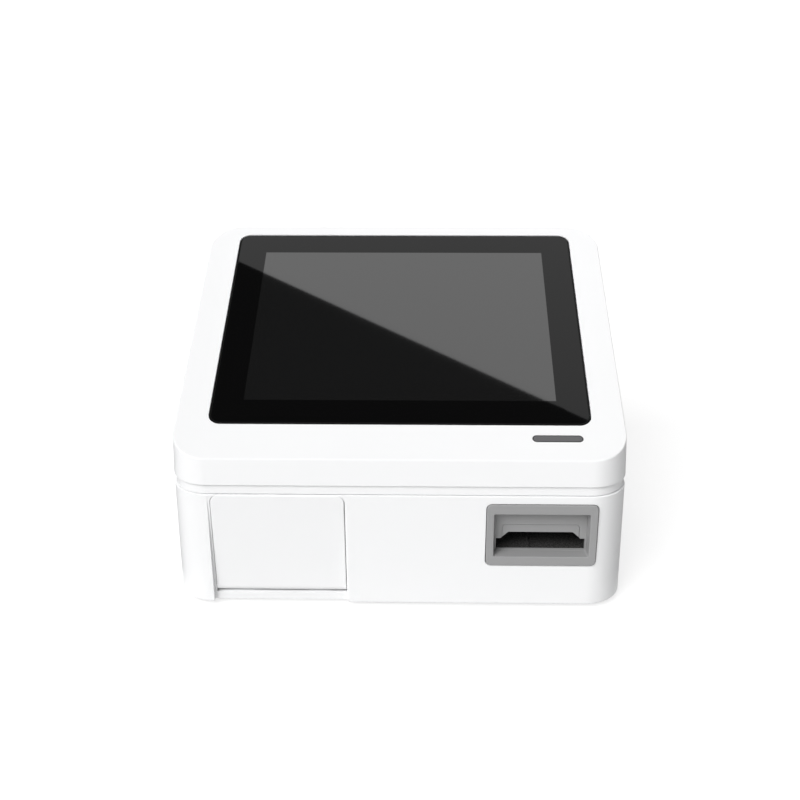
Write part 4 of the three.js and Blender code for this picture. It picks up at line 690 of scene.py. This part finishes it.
def printer_door():
    def outline(grow):
        return rounded(DOOR_LEFT, DOOR_RIGHT, HINGE, DOOR_HEIGHT, [0.05, 0.05, DOOR_CORNER, DOOR_CORNER],
                       12, grow)
    edge = 0.6
    layers = [(0, DOOR_THICK)]
    layers += [(-inwards, down) for inwards, down in quarter_arc(edge, 5)]
    panel = layered(outline, "y", layers)
    foot = [p for p in quarter_arc(HINGE, 12) if p[0] <= DOOR_THICK]
    skirt_ring = foot + [(DOOR_THICK, SKIRT_FOOT), (DOOR_THICK, SKIRT_TOP), (0, SKIRT_TOP)]
    skirt = prism(skirt_ring, "x", DOOR_LEFT, DOOR_RIGHT)
    barrels = [prism(disc(HINGE, HINGE, HINGE, 40), "x", x, x + BARREL_LENGTH) for x in BARREL_LEFTS]
    arms = []
    for x in (DOOR_LEFT + ARM_INSETS[0], DOOR_RIGHT - ARM_INSETS[1]):
        ring = [(INNER_FACE, PLATEN_Z - ARM_FOOT)]
        for i in range(17):
            angle = -math.pi / 2 + math.pi * i / 16
            ring.append((PLATEN_Y + ARM_RADIUS * math.cos(angle), PLATEN_Z + ARM_RADIUS * math.sin(angle)))
        ring.append((INNER_FACE, PLATEN_Z + ARM_RADIUS))
        arms.append(prism(ring, "x", x, x + ARM_THICK))
    rib_xs = [DOOR_LEFT + (DOOR_RIGHT - DOOR_LEFT) * i / 4 for i in (1, 2, 3)]
    ribs = [block(x - DOOR_RIB_HALF, x + DOOR_RIB_HALF, INNER_FACE, DOOR_RIB_DEEP,
                  DOOR_RIB_LOW, DOOR_RIB_HIGH) for x in rib_xs]
    door = joined(panel, skirt, *barrels, *arms, *ribs)
    bore = prism(disc(HINGE, HINGE, BORE_RADIUS, 32), "x", DOOR_LEFT - OVER, DOOR_RIGHT + OVER)
    shaft = prism(disc(PLATEN_Y, PLATEN_Z, BORE_RADIUS, 32), "x", DOOR_LEFT, DOOR_RIGHT)
    return moved(smooth(cut(door, bore, shaft)), DOOR)


finished(printer_door(), "printer_door_piece", "door", WHITE, "white_plastic", "printer_door")

# Lower shell

FRONT_FACE = -CASE_Y - SHELL_TOP_FLARE
FRONT_FOOT = -CASE_Y - SHELL_FOOT_FLARE
FRONT_INSIDE = -79.5
REAR_INSIDE = 82.8
RECESS_LEFT, RECESS_RIGHT = -96.7, -26.2
SURROUND_LEFT, SURROUND_RIGHT = -98.8, -24.1
DOOR_GAPS = {"left": 0.15, "right": 0.35, "top": 0.25, "bottom": 0.5}
PIN_Y, PIN_Z = -82.2464, 10.6427
PIN_LEFT, PIN_RIGHT = -98.4, -24.5
SCREW_WELL_RADIUS, SCREW_WELL_TOP = 3.1, 51.0
FOOT_POCKET_RADIUS, FOOT_POCKET = 7.3, 1.0
SLOT_X = 72.7
BEZEL_HALF = 28.1
BEZEL_Z0, BEZEL_Z1 = 23.45 + FOOT, 58.65 + FOOT
BEZEL_CORNER = 2.8


def rear_outline(grow):
    return rounded(-63, 63, 12 + FOOT, 44 + FOOT, 3, 8, grow)


VENT_COUNT, VENT_PITCH, VENT_HALF, VENT_LENGTH = 7, 5.4, 1.2, 18.0


def vent_slots(x, y, first, last):
    slots = []
    for i in range(first, last):
        middle = x + (i - (VENT_COUNT - 1) / 2) * VENT_PITCH
        outline = lambda g, m=middle: rounded(m - VENT_HALF, m + VENT_HALF, y - VENT_LENGTH / 2,
                                              y + VENT_LENGTH / 2, VENT_HALF, 6, g)
        slots.append(flared(outline, "z", WALL + OVER + FOOT, FOOT, FOOT - OVER, 0.35))
    return slots


def battery_outline():
    return rounded(-93.8, -10.2, -20.5, 54.5, 3, 8)


SPEAKER_X, SPEAKER_Y, VENT_Y = 11.325, -58.0, -31.5
SPEAKER_RING_RADIUS, SPEAKER_WELL_RADIUS = 15.5, 13.3
SHELL_POSTS = (
    (26.2, ((50.35, -71.4), (95.05, -71.4), (50.35, -19.4), (95.05, -19.4))),
    (7.2, ((32.5, 5.5), (91.5, 5.5), (91.5, 46.5), (32.5, 46.5))),
    (17.8, ((-22.5, 77.3), (-22.5, 70.3), (56.5, 77.3), (56.5, 70.3))),
    (28.7, ((39.05, -70.4),)),
)


def lower_shell():
    lip = 0.2
    foot = [case_ring(SHELL_FOOT_FLARE - BASE_EDGE * (1 - math.sin(a)), BASE_EDGE * (1 - math.cos(a)))
            for a in (math.pi / 2 * i / 6 for i in range(7))]
    rim = [case_ring(SHELL_TOP_FLARE - inwards, SHELL_TOP - down) for inwards, down in quarter_arc(lip, 4)]
    shell = loft(foot + rim)
    inner = loft([case_ring(SHELL_FOOT_FLARE - WALL, WALL),
                  case_ring(SHELL_TOP_FLARE - WALL, SHELL_TOP + OVER)])
    shell = cut(shell, inner)
    surround = block(SURROUND_LEFT, SURROUND_RIGHT, -CASE_Y, FRONT_INSIDE, FOOT, SHELL_TOP + FOOT)
    bosses = at_corners(lambda x, y: prism(disc(x, y, BOSS_RADIUS), "z", FOOT, SHELL_TOP + FOOT))
    ring = prism(disc(SPEAKER_X, SPEAKER_Y, SPEAKER_RING_RADIUS, 48), "z", FOOT, FOOT + 2 * WALL)
    posts = [prism(disc(x, y, POST_RADIUS, 24), "z", FOOT, top + FOOT)
             for top, places in SHELL_POSTS for x, y in places]
    shell = joined(shell, surround, ring, *bosses, *posts)

    top, foot_z = SHELL_TOP + FOOT, FOOT
    leaning = [(FRONT_FACE - OVER, top + OVER),
               (FRONT_FACE - RECESS_LEAN * OVER / SHELL_TOP, top + OVER),
               (RECESS_FOOT, foot_z), (RECESS_FOOT, foot_z - OVER), (FRONT_FOOT - OVER, foot_z - OVER)]
    recess = prism(leaning, "x", RECESS_LEFT, RECESS_RIGHT)
    corners = [SQUARE, SQUARE, DOOR_CORNER + DOOR_GAPS["right"], DOOR_CORNER + DOOR_GAPS["left"]]
    opening = prism(rounded(DOOR_LEFT - DOOR_GAPS["left"], DOOR_RIGHT + DOOR_GAPS["right"],
                            DOOR_FOOT - DOOR_GAPS["bottom"] + FOOT,
                            DOOR_FOOT + DOOR_HEIGHT + DOOR_GAPS["top"] + FOOT, corners, 12),
                    "y", FRONT_FOOT - OVER, FRONT_INSIDE + OVER)
    slot = flared(lambda g: rounded(SLOT_X - BEZEL_HALF - SEAM, SLOT_X + BEZEL_HALF + SEAM,
                                    BEZEL_Z0 - SEAM, BEZEL_Z1 + SEAM, BEZEL_CORNER + SEAM, 10, g),
                  "y", FRONT_INSIDE, FRONT_FACE - 0.3, FRONT_FOOT - OVER, 0.3)
    rear = flared(lambda g: rear_outline(SEAM + g), "y", REAR_INSIDE, CASE_Y + SHELL_TOP_FLARE,
                  CASE_Y + OVER, 0.4)
    pin = prism(disc(PIN_Y, PIN_Z, HOLE_RADIUS, 24), "x", PIN_LEFT, PIN_RIGHT)
    wells = at_corners(lambda x, y: prism(disc(x, y, SCREW_WELL_RADIUS, 32), "z", -OVER,
                                          SCREW_WELL_TOP + FOOT))
    holes = at_corners(lambda x, y: prism(disc(x, y, HOLE_RADIUS, 24), "z", -OVER, SHELL_TOP + FOOT + OVER))
    pockets = [prism(disc(sx * FEET_X, sy * FEET_Y, FOOT_POCKET_RADIUS, 48), "z", -OVER,
                     FOOT + FOOT_POCKET) for sx, sy, _ in CORNERS]
    battery = prism(battery_outline(), "z", -OVER, FOOT + WALL + OVER)
    well = prism(disc(SPEAKER_X, SPEAKER_Y, SPEAKER_WELL_RADIUS, 48), "z", FOOT + WALL, FOOT + WALL + OVER)
    vents = vent_slots(SPEAKER_X, SPEAKER_Y, 2, 5) + vent_slots(SPEAKER_X, VENT_Y, 0, VENT_COUNT)
    return smooth(cut(shell, recess, opening, slot, rear, pin, battery, well, *wells, *holes, *pockets,
                      *vents))


finished(lower_shell(), "lower_shell_piece", "chassis", WHITE, "white_plastic", "lower_shell")

# Slot bezel

MOUTH_HALF = 24.3
MOUTH_Z0, MOUTH_Z1 = 28.85 + FOOT, 53.25 + FOOT
MOUTH_DEPTH = 6.2
MOUTH_DRAFT = 0.9
THROAT_SILL = 0.45
THROAT_STEP = 6.75
THROAT_RISE = 10.4
RELIEF_TOP = 44.25 + FOOT
BEZEL_FRONT = FRONT_FOOT - 0.3
BEZEL_END = BEZEL_FRONT + MOUTH_DEPTH + 2.0
THROAT_HALF, THROAT_SHOULDER, THROAT_CROWN = 22.75, 20.4, 16.5
THROAT_Z0 = 29.3 + FOOT
RELIEF_HALF, RELIEF_CORNER, RELIEF_DEEP = 19.9, 2.0, 0.4
GROOVE_WIDE, GROOVE_DEEP = 0.32, 0.95
BEZEL_LIP_HALF, BEZEL_LIP_FRONT, BEZEL_LIP = 24.1, -84.9, 2.2


def throat_ring(grow):
    z0, step, top = THROAT_Z0 - grow, THROAT_Z0 + THROAT_STEP + grow, THROAT_Z0 + THROAT_RISE + grow
    half, shoulder, crown = THROAT_HALF + grow, THROAT_SHOULDER + grow, THROAT_CROWN + grow * 0.7
    right = [(half, z0), (half, step), (shoulder, step), (crown, top)]
    return [(SLOT_X + x, z) for x, z in right] + [(SLOT_X - x, z) for x, z in reversed(right)]


def slot_bezel():
    wall_y = BEZEL_FRONT + MOUTH_DEPTH
    edge = 0.5
    layers = [(0, BEZEL_END)] + [(-inwards, BEZEL_FRONT + down) for inwards, down in quarter_arc(edge, 5)]
    body = layered(lambda g: rounded(SLOT_X - BEZEL_HALF, SLOT_X + BEZEL_HALF, BEZEL_Z0, BEZEL_Z1,
                                     BEZEL_CORNER, 10, g), "y", layers)
    lips = [block(SLOT_X - BEZEL_LIP_HALF, SLOT_X + BEZEL_LIP_HALF, BEZEL_LIP_FRONT, BEZEL_END,
                  z - BEZEL_LIP, z + BEZEL_LIP) for z in (BEZEL_Z0, BEZEL_Z1)]

    def mouth_ring(inset, low, grow=0.0):
        return rounded(SLOT_X - MOUTH_HALF + inset, SLOT_X + MOUTH_HALF - inset, MOUTH_Z0 + low,
                       MOUTH_Z1 - inset, 0.8, 5, grow)
    rings = [on_axis(mouth_ring(MOUTH_DRAFT, THROAT_SILL), "y", wall_y)]
    lip = 0.4
    for inwards, down in quarter_arc(lip, 5):
        share = down / MOUTH_DEPTH
        rings.append(on_axis(mouth_ring(MOUTH_DRAFT * share, THROAT_SILL * share, inwards), "y",
                             BEZEL_FRONT + down))
    rings.append(on_axis(mouth_ring(0, 0, lip), "y", BEZEL_FRONT - OVER))
    mouth = loft(rings)
    throat = flared(throat_ring, "y", BEZEL_END + OVER, wall_y, wall_y - 4, 0.15, 3)
    relief_ring = lambda g: rounded(SLOT_X - RELIEF_HALF, SLOT_X + RELIEF_HALF, THROAT_Z0 + THROAT_STEP,
                                    RELIEF_TOP, [SQUARE, SQUARE, RELIEF_CORNER, RELIEF_CORNER], 8, g)
    relief = prism(relief_ring(0), "y", wall_y + RELIEF_DEEP, wall_y - 4)
    groove = cut(prism(relief_ring(0), "y", wall_y + GROOVE_DEEP, wall_y + RELIEF_DEEP / 2),
                 prism(relief_ring(-GROOVE_WIDE), "y", wall_y + 2 * GROOVE_DEEP, wall_y - 1))
    return smooth(cut(joined(body, *lips), mouth, throat, relief, groove), angle=38)


finished(slot_bezel(), "slot_bezel_piece", "chassis", SLOT_GREY, "slot_grey_plastic", "slot_bezel")

# Painted shade round the status light: a black ring in the gap round the lens


def ring_between(outer, inner, axis, start, end):
    return cut(prism(outer, axis, start, end), prism(inner, axis, start - OVER, end + OVER))


# Painted shade: this black ring stands for the shadow in the gap round the status light's lens.
gap_shade_ring = moved(smooth(ring_between(light_outline(0.23), light_outline(-0.3), "z", -1.4, -0.1)), TOP)
finished(gap_shade_ring, "status_light_gap_shade_ring", "chassis", BLACK, "black_plastic")

# Remaining solids, each with its edges rounded


def above(level):
    """Picks the faces of a board's parts, which stand above its upper face."""
    return lambda p: p.z > level


MAIN_BOARD_TOP, POWER_BOARD_TOP = 74.15, 11.65
BODIES = {"platen_roller": "platen", "platen_gear": "platen", "idler_gear": "idler",
          "motor_pinion": "pinion", "contact_head": "contact_carriage",
          "contact_strip": "contact_carriage", "contact_lead_screw": "contact_screw",
          "pouch_plunger": "plunger_carriage", "plunger_lead_screw": "plunger_screw",
          "switch_lever": "lever", "fan_rotor": "fan", "power_rocker": "rocker"}
for node, material, slot, width, *second in (
    ("paper_bucket", BLACK, "black_plastic", 0.3),
    ("cartridge_guide", GUIDE_BLACK, "black_plastic", 0.2),
    ("display_bracket", STEEL, "steel", 0.2),
    ("display_ribbon", CARD, "card", 0.05),
    ("status_light_board", BOARD, "circuit_board", 0.1),
    ("door_hinge_pin", STEEL, "steel", 0.3),
    ("feed_motor", STEEL, "steel", 0.4),
    ("print_head", ALUMINIUM, "aluminium", 0.2),
    ("heater_plate", ALUMINIUM, "aluminium", 0.2),
    ("clamp_frame", ALUMINIUM, "aluminium", 0.25),
    ("contact_motor", STEEL, "steel", 0.2),
    ("plunger_motor", STEEL, "steel", 0.2),
    ("cartridge_switch", BLACK, "black_plastic", 0.15),
    ("code_scanner", BLACK, "black_plastic", 0.3),
    ("main_board", (BOARD, BLACK), "circuit_board", 0.15, above(MAIN_BOARD_TOP)),
    ("heat_sink", ALUMINIUM, "aluminium", 0.15),
    ("power_board", (BOARD, BLACK), "circuit_board", 0.2, above(POWER_BOARD_TOP)),
    ("battery_pack", WRAP, "battery_wrap", 0.2),
    ("battery_cover", LIGHT_GREY, "light_grey_plastic", 0.3),
    ("speaker", BLACK, "black_plastic", 0.3),
    ("io_board", BOARD, "circuit_board", 0.1),
    ("fan_frame", BLACK, "black_plastic", 0.3),
    ("fan_rotor", BLACK, "black_plastic", 0.12),
    ("rear_panel", LIGHT_GREY, "light_grey_plastic", 0.25),
    ("usb_port_1", STEEL, "steel", 0.1),
    ("usb_port_2", STEEL, "steel", 0.1),
    ("network_port", STEEL, "steel", 0.2),
    ("power_inlet", BLACK, "black_plastic", 0.25),
    ("power_switch_body", BLACK, "black_plastic", 0.25),
    ("power_rocker", BLACK, "black_plastic", 0.35),
    ("platen_roller", RUBBER, "rubber", 0.2),
    ("platen_gear", ACETAL, "gear_plastic", 0.06),
    ("idler_gear", ACETAL, "gear_plastic", 0.06),
    ("motor_pinion", BRASS, "brass", 0.05),
    ("contact_head", LIGHT_GREY, "light_grey_plastic", 0.2),
    ("contact_strip", BRASS, "brass", 0.08),
    ("contact_lead_screw", STEEL, "steel", 0.15),
    ("pouch_plunger", LIGHT_GREY, "light_grey_plastic", 0.2),
    ("plunger_lead_screw", STEEL, "steel", 0.15),
    ("switch_lever", STEEL, "steel", 0.08),
):
    refined(node, BODIES.get(node, "chassis"), material, slot, width, *second)

# Paper roll and its card core, turned about the roll's middle line

ROLL_Y, ROLL_Z = -50.3, 24.8 + FOOT
ROLL_LEFT, ROLL_WIDTH = -91.5, 57.0


def tube(inner, outer, length, edge, steps):
    """A turned tube with rounded rims, standing on Z = 0."""
    arc = [(math.cos(a), math.sin(a)) for a in (math.pi / 2 * i / 3 for i in range(4))]
    outline = [(outer - edge + edge * c, length - edge + edge * s) for c, s in arc]
    outline += [(inner + edge - edge * c, length - edge + edge * s) for c, s in reversed(arc)]
    outline += [(inner + edge - edge * c, edge - edge * s) for c, s in arc]
    outline += [(outer - edge + edge * c, edge - edge * s) for c, s in reversed(arc)]
    points, faces = [], []
    n = len(outline)
    for i in range(steps):
        angle = 2 * math.pi * i / steps
        points += [(r * math.cos(angle), r * math.sin(angle), z) for r, z in outline]
    for i in range(steps):
        a, b = i * n, (i + 1) % steps * n
        faces += [(a + k, b + k, b + (k + 1) % n, a + (k + 1) % n) for k in range(n)]
    return new_object("tube", mesh_from(points, faces, "tube"))


LYING = Matrix.Rotation(math.pi / 2, 4, "Y")
roll = moved(smooth(tube(6.7, 19.0, ROLL_WIDTH, 0.25, 96), angle=50), at(ROLL_LEFT, ROLL_Y, ROLL_Z, LYING))
finished(roll, "paper_roll_piece", "paper", PAPER, "paper", "paper_roll")
core = moved(smooth(tube(5.2, 6.4, ROLL_WIDTH, 0.15, 64), angle=50), at(ROLL_LEFT, ROLL_Y, ROLL_Z, LYING))
finished(core, "roll_core_piece", "paper", CARD, "card", "roll_core")

# Rubber feet and the four screws that hold the case together

SCREW_HEAD_Z = 48.3
SOCKET_RADIUS, SOCKET_DEEP = 1.5, 1.5


def foot():
    profile = [(0, -2.5), (3.2, -2.5), (3.5, -2.2), (4.1, -2.2), (4.4, -2.5), (5.0, -2.5), (5.5, -2.3),
               (6.7, -1.65), (6.95, -1.3), (7.0, -0.9), (7.0, 0.7), (0, 0.7)]
    return smooth(turned(profile, 64), angle=25)


def housing_screw():
    profile = [(0, 0), (1.9, 0), (2.4, 0.25), (2.7, 0.8), (2.8, 1.4), (2.8, 2.4), (1.5, 2.4), (1.5, 19.5),
               (0.75, 21), (0, 21)]
    head = turned(profile, 40)
    socket = prism(disc(0, 0, SOCKET_RADIUS, 6), "z", -1, SOCKET_DEEP)
    return smooth(cut(head, socket), angle=30)


for sx, sy, side in CORNERS:
    finished(moved(foot(), at(sx * FEET_X, sy * FEET_Y, FOOT)), f"foot_{side}_piece", "chassis", RUBBER,
             "rubber", f"foot_{side}")
    finished(moved(housing_screw(), at(sx * BOSS_X, sy * BOSS_Y, SCREW_HEAD_Z + FOOT)),
             f"housing_screw_{side}_piece", "chassis", STEEL, "steel", f"housing_screw_{side}")

# Rear panel: four screws and the metal inside its ports

PANEL_Y = 85.6
PANEL_SCREW_X = 59.0
PANEL_SCREWS_Z = {"low": 16.0 + FOOT, "high": 40.0 + FOOT}
SEATED = 0.02
TO_BACK = Matrix.Rotation(-math.pi / 2, 4, "X")


def pan_head():
    """A cross-recessed pan head that stands on Z = 0."""
    radius, height, reach, half = 2.5, 1.1, 1.35, 0.3
    profile = [(0, 0), (radius, 0), (radius, height * 0.3), (radius * 0.93, height * 0.62),
               (radius * 0.76, height * 0.88), (radius * 0.5, height), (0, height)]
    head = turned(profile, 40)
    arms = [block(-x, x, -y, y, height * 0.35, height + 1) for x, y in ((reach, half), (half, reach))]
    pit = turned([(0, height * 0.2), (0.35, height * 0.3), (0.9, height + 0.1), (0, height + 0.2)], 16)
    return smooth(cut(head, joined(arms[0], arms[1], pit)), angle=30)


for side, x in (("left", -PANEL_SCREW_X), ("right", PANEL_SCREW_X)):
    for level, z in PANEL_SCREWS_Z.items():
        head = moved(pan_head(), at(x, PANEL_Y - SEATED, z, TO_BACK))
        finished(head, f"panel_screw_{side}_{level}", "chassis", STEEL, "steel")

PORT_Z = 20.0 + FOOT


def gilded(name, pieces):
    finished(smooth(joined(pieces[0], *pieces[1:])), name, "chassis", BRASS, "brass")


USB_XS = (5.0, 25.0)
USB_TONGUE_Z = PORT_Z + 3.4
USB_STRIPS, USB_STRIP_HALF = (-3.5, -1.2, 1.2, 3.5), 0.55
CONTACT_BAR_HALF = 4.2
for number, x in enumerate(USB_XS, 1):
    strips = [block(x + d - USB_STRIP_HALF, x + d + USB_STRIP_HALF, PANEL_Y - 12, PANEL_Y - 1.3,
                    USB_TONGUE_Z - 0.12, USB_TONGUE_Z + 0.2) for d in USB_STRIPS]
    bar = block(x - CONTACT_BAR_HALF, x + CONTACT_BAR_HALF, PANEL_Y - 12.4, PANEL_Y - 11.8,
                USB_TONGUE_Z - 0.1, USB_TONGUE_Z + 0.2)
    gilded(f"usb_contacts_{number}", [bar] + strips)

LAN_X = 48.0
JACK_TOP = PORT_Z + 10.25
PIN_COUNT, PIN_PITCH, PIN_HALF = 8, 1.02, 0.2
pin_xs = [LAN_X + (k - (PIN_COUNT - 1) / 2) * PIN_PITCH for k in range(PIN_COUNT)]
pins = [block(x - PIN_HALF, x + PIN_HALF, PANEL_Y - 10.6, PANEL_Y - 2.2, JACK_TOP - 1.5, JACK_TOP - 1.1)
        for x in pin_xs]
pins.append(block(LAN_X - CONTACT_BAR_HALF, LAN_X + CONTACT_BAR_HALF, PANEL_Y - 11.1, PANEL_Y - 10.2,
                  JACK_TOP - 1.5, JACK_TOP + 0.1))
gilded("network_contacts", pins)

INLET_X, INLET_Z = -18.0, PORT_Z + 5.5
SLEEVE = at(INLET_X, PANEL_Y - 12, INLET_Z, TO_BACK)
sleeve = moved(smooth(tube(1.0, 1.22, 10.5, 0.08, 32), angle=50), SLEEVE)
finished(sleeve, "inlet_pin_sleeve", "chassis", BRASS, "brass")

# Thermal line across the print head

THERMAL_LINE = (-91.3, -34.7, -73.36, -73.1, 58.1, 59.6)
finished(smooth(block(*THERMAL_LINE)), "thermal_line", "chassis", GUIDE_BLACK, "black_plastic")

# Grip ridges on the battery cover

GRIP_X, GRIP_HALF, RIDGE_HALF = -52.0, 12.0, 0.5
GRIP_YS = (41.0, 43.4, 45.8, 48.2, 50.6)
ridges = [prism(rounded(GRIP_X - GRIP_HALF, GRIP_X + GRIP_HALF, y - RIDGE_HALF, y + RIDGE_HALF,
                        RIDGE_HALF, 6), "z", FOOT - 0.45, FOOT + 0.6) for y in GRIP_YS]
finished(smooth(joined(ridges[0], *ridges[1:])), "battery_cover_grip", "chassis", LIGHT_GREY,
         "light_grey_plastic")

# Floor, world, lights and camera

FLOOR_REACH, FLOOR_DEEP = 9000.0, 20.0
FLOOR_GLOW = 0.72
FLOOR_TONE, FLOOR_TONE_SEEN = 0.68, 0.36
WORLD_LEVEL, WORLD_LEVEL_SEEN = 0.22, 1.0


def stage():
    """A floor and a world whose full brightness only the camera and reflections see."""
    floor = block(-FLOOR_REACH, FLOOR_REACH, -FLOOR_REACH, FLOOR_REACH, -FLOOR_DEEP, 0, "floor")
    mat, shader = principled("pale_floor", [FLOOR_TONE] * 3, 0.9, Emission_Color=(1, 1, 1, 1))
    seen = seen_by(mat, "Camera", "Glossy")
    ranged(mat, 0.0, FLOOR_GLOW, seen, shader.inputs["Emission Strength"])
    blended(mat, [FLOOR_TONE] * 3, [FLOOR_TONE_SEEN] * 3, seen, shader.inputs["Base Color"])
    floor.data.materials.append(mat)

    world = bpy.data.worlds.new("studio")
    scene.world = world
    world.use_nodes = True
    background = world.node_tree.nodes["Background"]
    background.inputs["Color"].default_value = (1, 1, 1, 1)
    seen = seen_by(world, "Camera", "Glossy", "Transmission")
    ranged(world, WORLD_LEVEL, WORLD_LEVEL_SEEN, seen, background.inputs["Strength"])


stage()


def sun(name, energy, azimuth, elevation, angle):
    """A distant light. Azimuth is measured from the front, positive to the left."""
    lamp = bpy.data.lights.new(name, "SUN")
    lamp.energy = energy * math.pi
    lamp.angle = math.radians(angle)
    obj = bpy.data.objects.new(name, lamp)
    scene.collection.objects.link(obj)
    a, e = math.radians(azimuth), math.radians(elevation)
    source = Vector((-math.sin(a) * math.cos(e), -math.cos(a) * math.cos(e), math.sin(e)))
    obj.rotation_mode = "QUATERNION"
    obj.rotation_quaternion = source.to_track_quat("Z", "Y")
    obj.visible_glossy = False
    return obj


sun("key", 0.99, 36, 44.5, 40)
sun("fill", 0.45, 180, 15, 60)

YAW, PITCH, ROLL = math.radians(-1.3955), math.radians(23.7841), math.radians(-0.28542)
EYE = Vector((13.9, -614.1, 350.2))
IMAGE = 800
FOCAL = 1188.36
SENSOR = 36.0


def camera_axes():
    forward = Vector((math.sin(YAW) * math.cos(PITCH), math.cos(YAW) * math.cos(PITCH), -math.sin(PITCH)))
    level = Vector((math.cos(YAW), -math.sin(YAW), 0))
    upright = level.cross(forward)
    right = level * math.cos(ROLL) + upright * math.sin(ROLL)
    up = upright * math.cos(ROLL) - level * math.sin(ROLL)
    return right, up, forward


def camera():
    data = bpy.data.cameras.new("camera")
    data.sensor_width = SENSOR
    data.lens = FOCAL / IMAGE * SENSOR
    data.clip_start = 0.01
    data.clip_end = 100
    obj = bpy.data.objects.new("camera", data)
    scene.collection.objects.link(obj)
    right, up, forward = camera_axes()
    matrix = Matrix((right, up, -forward)).transposed().to_4x4()
    matrix.translation = EYE * MM
    obj.matrix_world = matrix
    scene.camera = obj


camera()
scene.view_settings.view_transform = "Standard"

# Flags that only reflections see

GLASS_EDGE_SEEN = ((238.0, 261.0), (590.0, 421.0))
GLASS_DARK_SEEN = (300.0, 400.0)
FLAG_AWAY, FLAG_REACH, FLAG_THICK = 1400.0, 2500.0, 20.0


def reflection_card():
    """A dark flag above the case. Its straight edge runs across the reflection in the glass."""
    right, up, forward = camera_axes()
    normal = (TOP.to_3x3() @ Vector((0, 0, 1))).normalized()
    origin = TOP.translation / MM

    def mirrored(px, py):
        """Where the glass is met by the line of sight through a place in the image, and its way on."""
        ray = (right * (px - IMAGE / 2) / FOCAL - up * (py - IMAGE / 2) / FOCAL + forward).normalized()
        hit = EYE + ray * ((origin - EYE).dot(normal) / ray.dot(normal))
        return hit, ray - normal * (2 * ray.dot(normal))

    (hit_a, way_a), (hit_b, way_b) = (mirrored(*place) for place in GLASS_EDGE_SEEN)
    way = (way_a + way_b).normalized()
    centre = (hit_a + hit_b) / 2 + way * FLAG_AWAY

    def on_card(hit, bounce):
        return hit + bounce * ((centre - hit).dot(way) / bounce.dot(way))

    ends = [on_card(hit_a, way_a), on_card(hit_b, way_b)]
    along = (ends[1] - ends[0]).normalized()
    side = along.cross(way).normalized() * FLAG_REACH
    if (on_card(*mirrored(*GLASS_DARK_SEEN)) - ends[0]).dot(side) < 0:
        side = -side
    reach = along * FLAG_REACH
    flag(loft([[ends[0] - reach + way * w, ends[1] + reach + way * w,
                ends[1] + reach + side + way * w, ends[0] - reach + side + way * w]
               for w in (0, FLAG_THICK)], "flag"))


def flag(card, glow=0.0):
    """Only reflections see a flag. It is black, or grey by its own glow."""
    mat, _ = principled("flag_black", (0, 0, 0), 1.0, Specular_IOR_Level=0.0,
                        Emission_Color=(1, 1, 1, 1), Emission_Strength=glow)
    card.data.materials.append(mat)
    card.visible_camera = False
    card.visible_diffuse = False
    card.visible_shadow = False
    card.visible_transmission = False


SIDE_FLAGS = ((-130, -128, 0.0), (128, 130, 0.45))
SIDE_FLAG_SPAN = (-130, 110, 0.5, 190)


def side_cards():
    """A black flag on the left and a grey one on the right, which darken the outline of the white case."""
    for near, far, glow in SIDE_FLAGS:
        flag(block(near, far, *SIDE_FLAG_SPAN, "side_flag"), glow)


reflection_card()
side_cards()
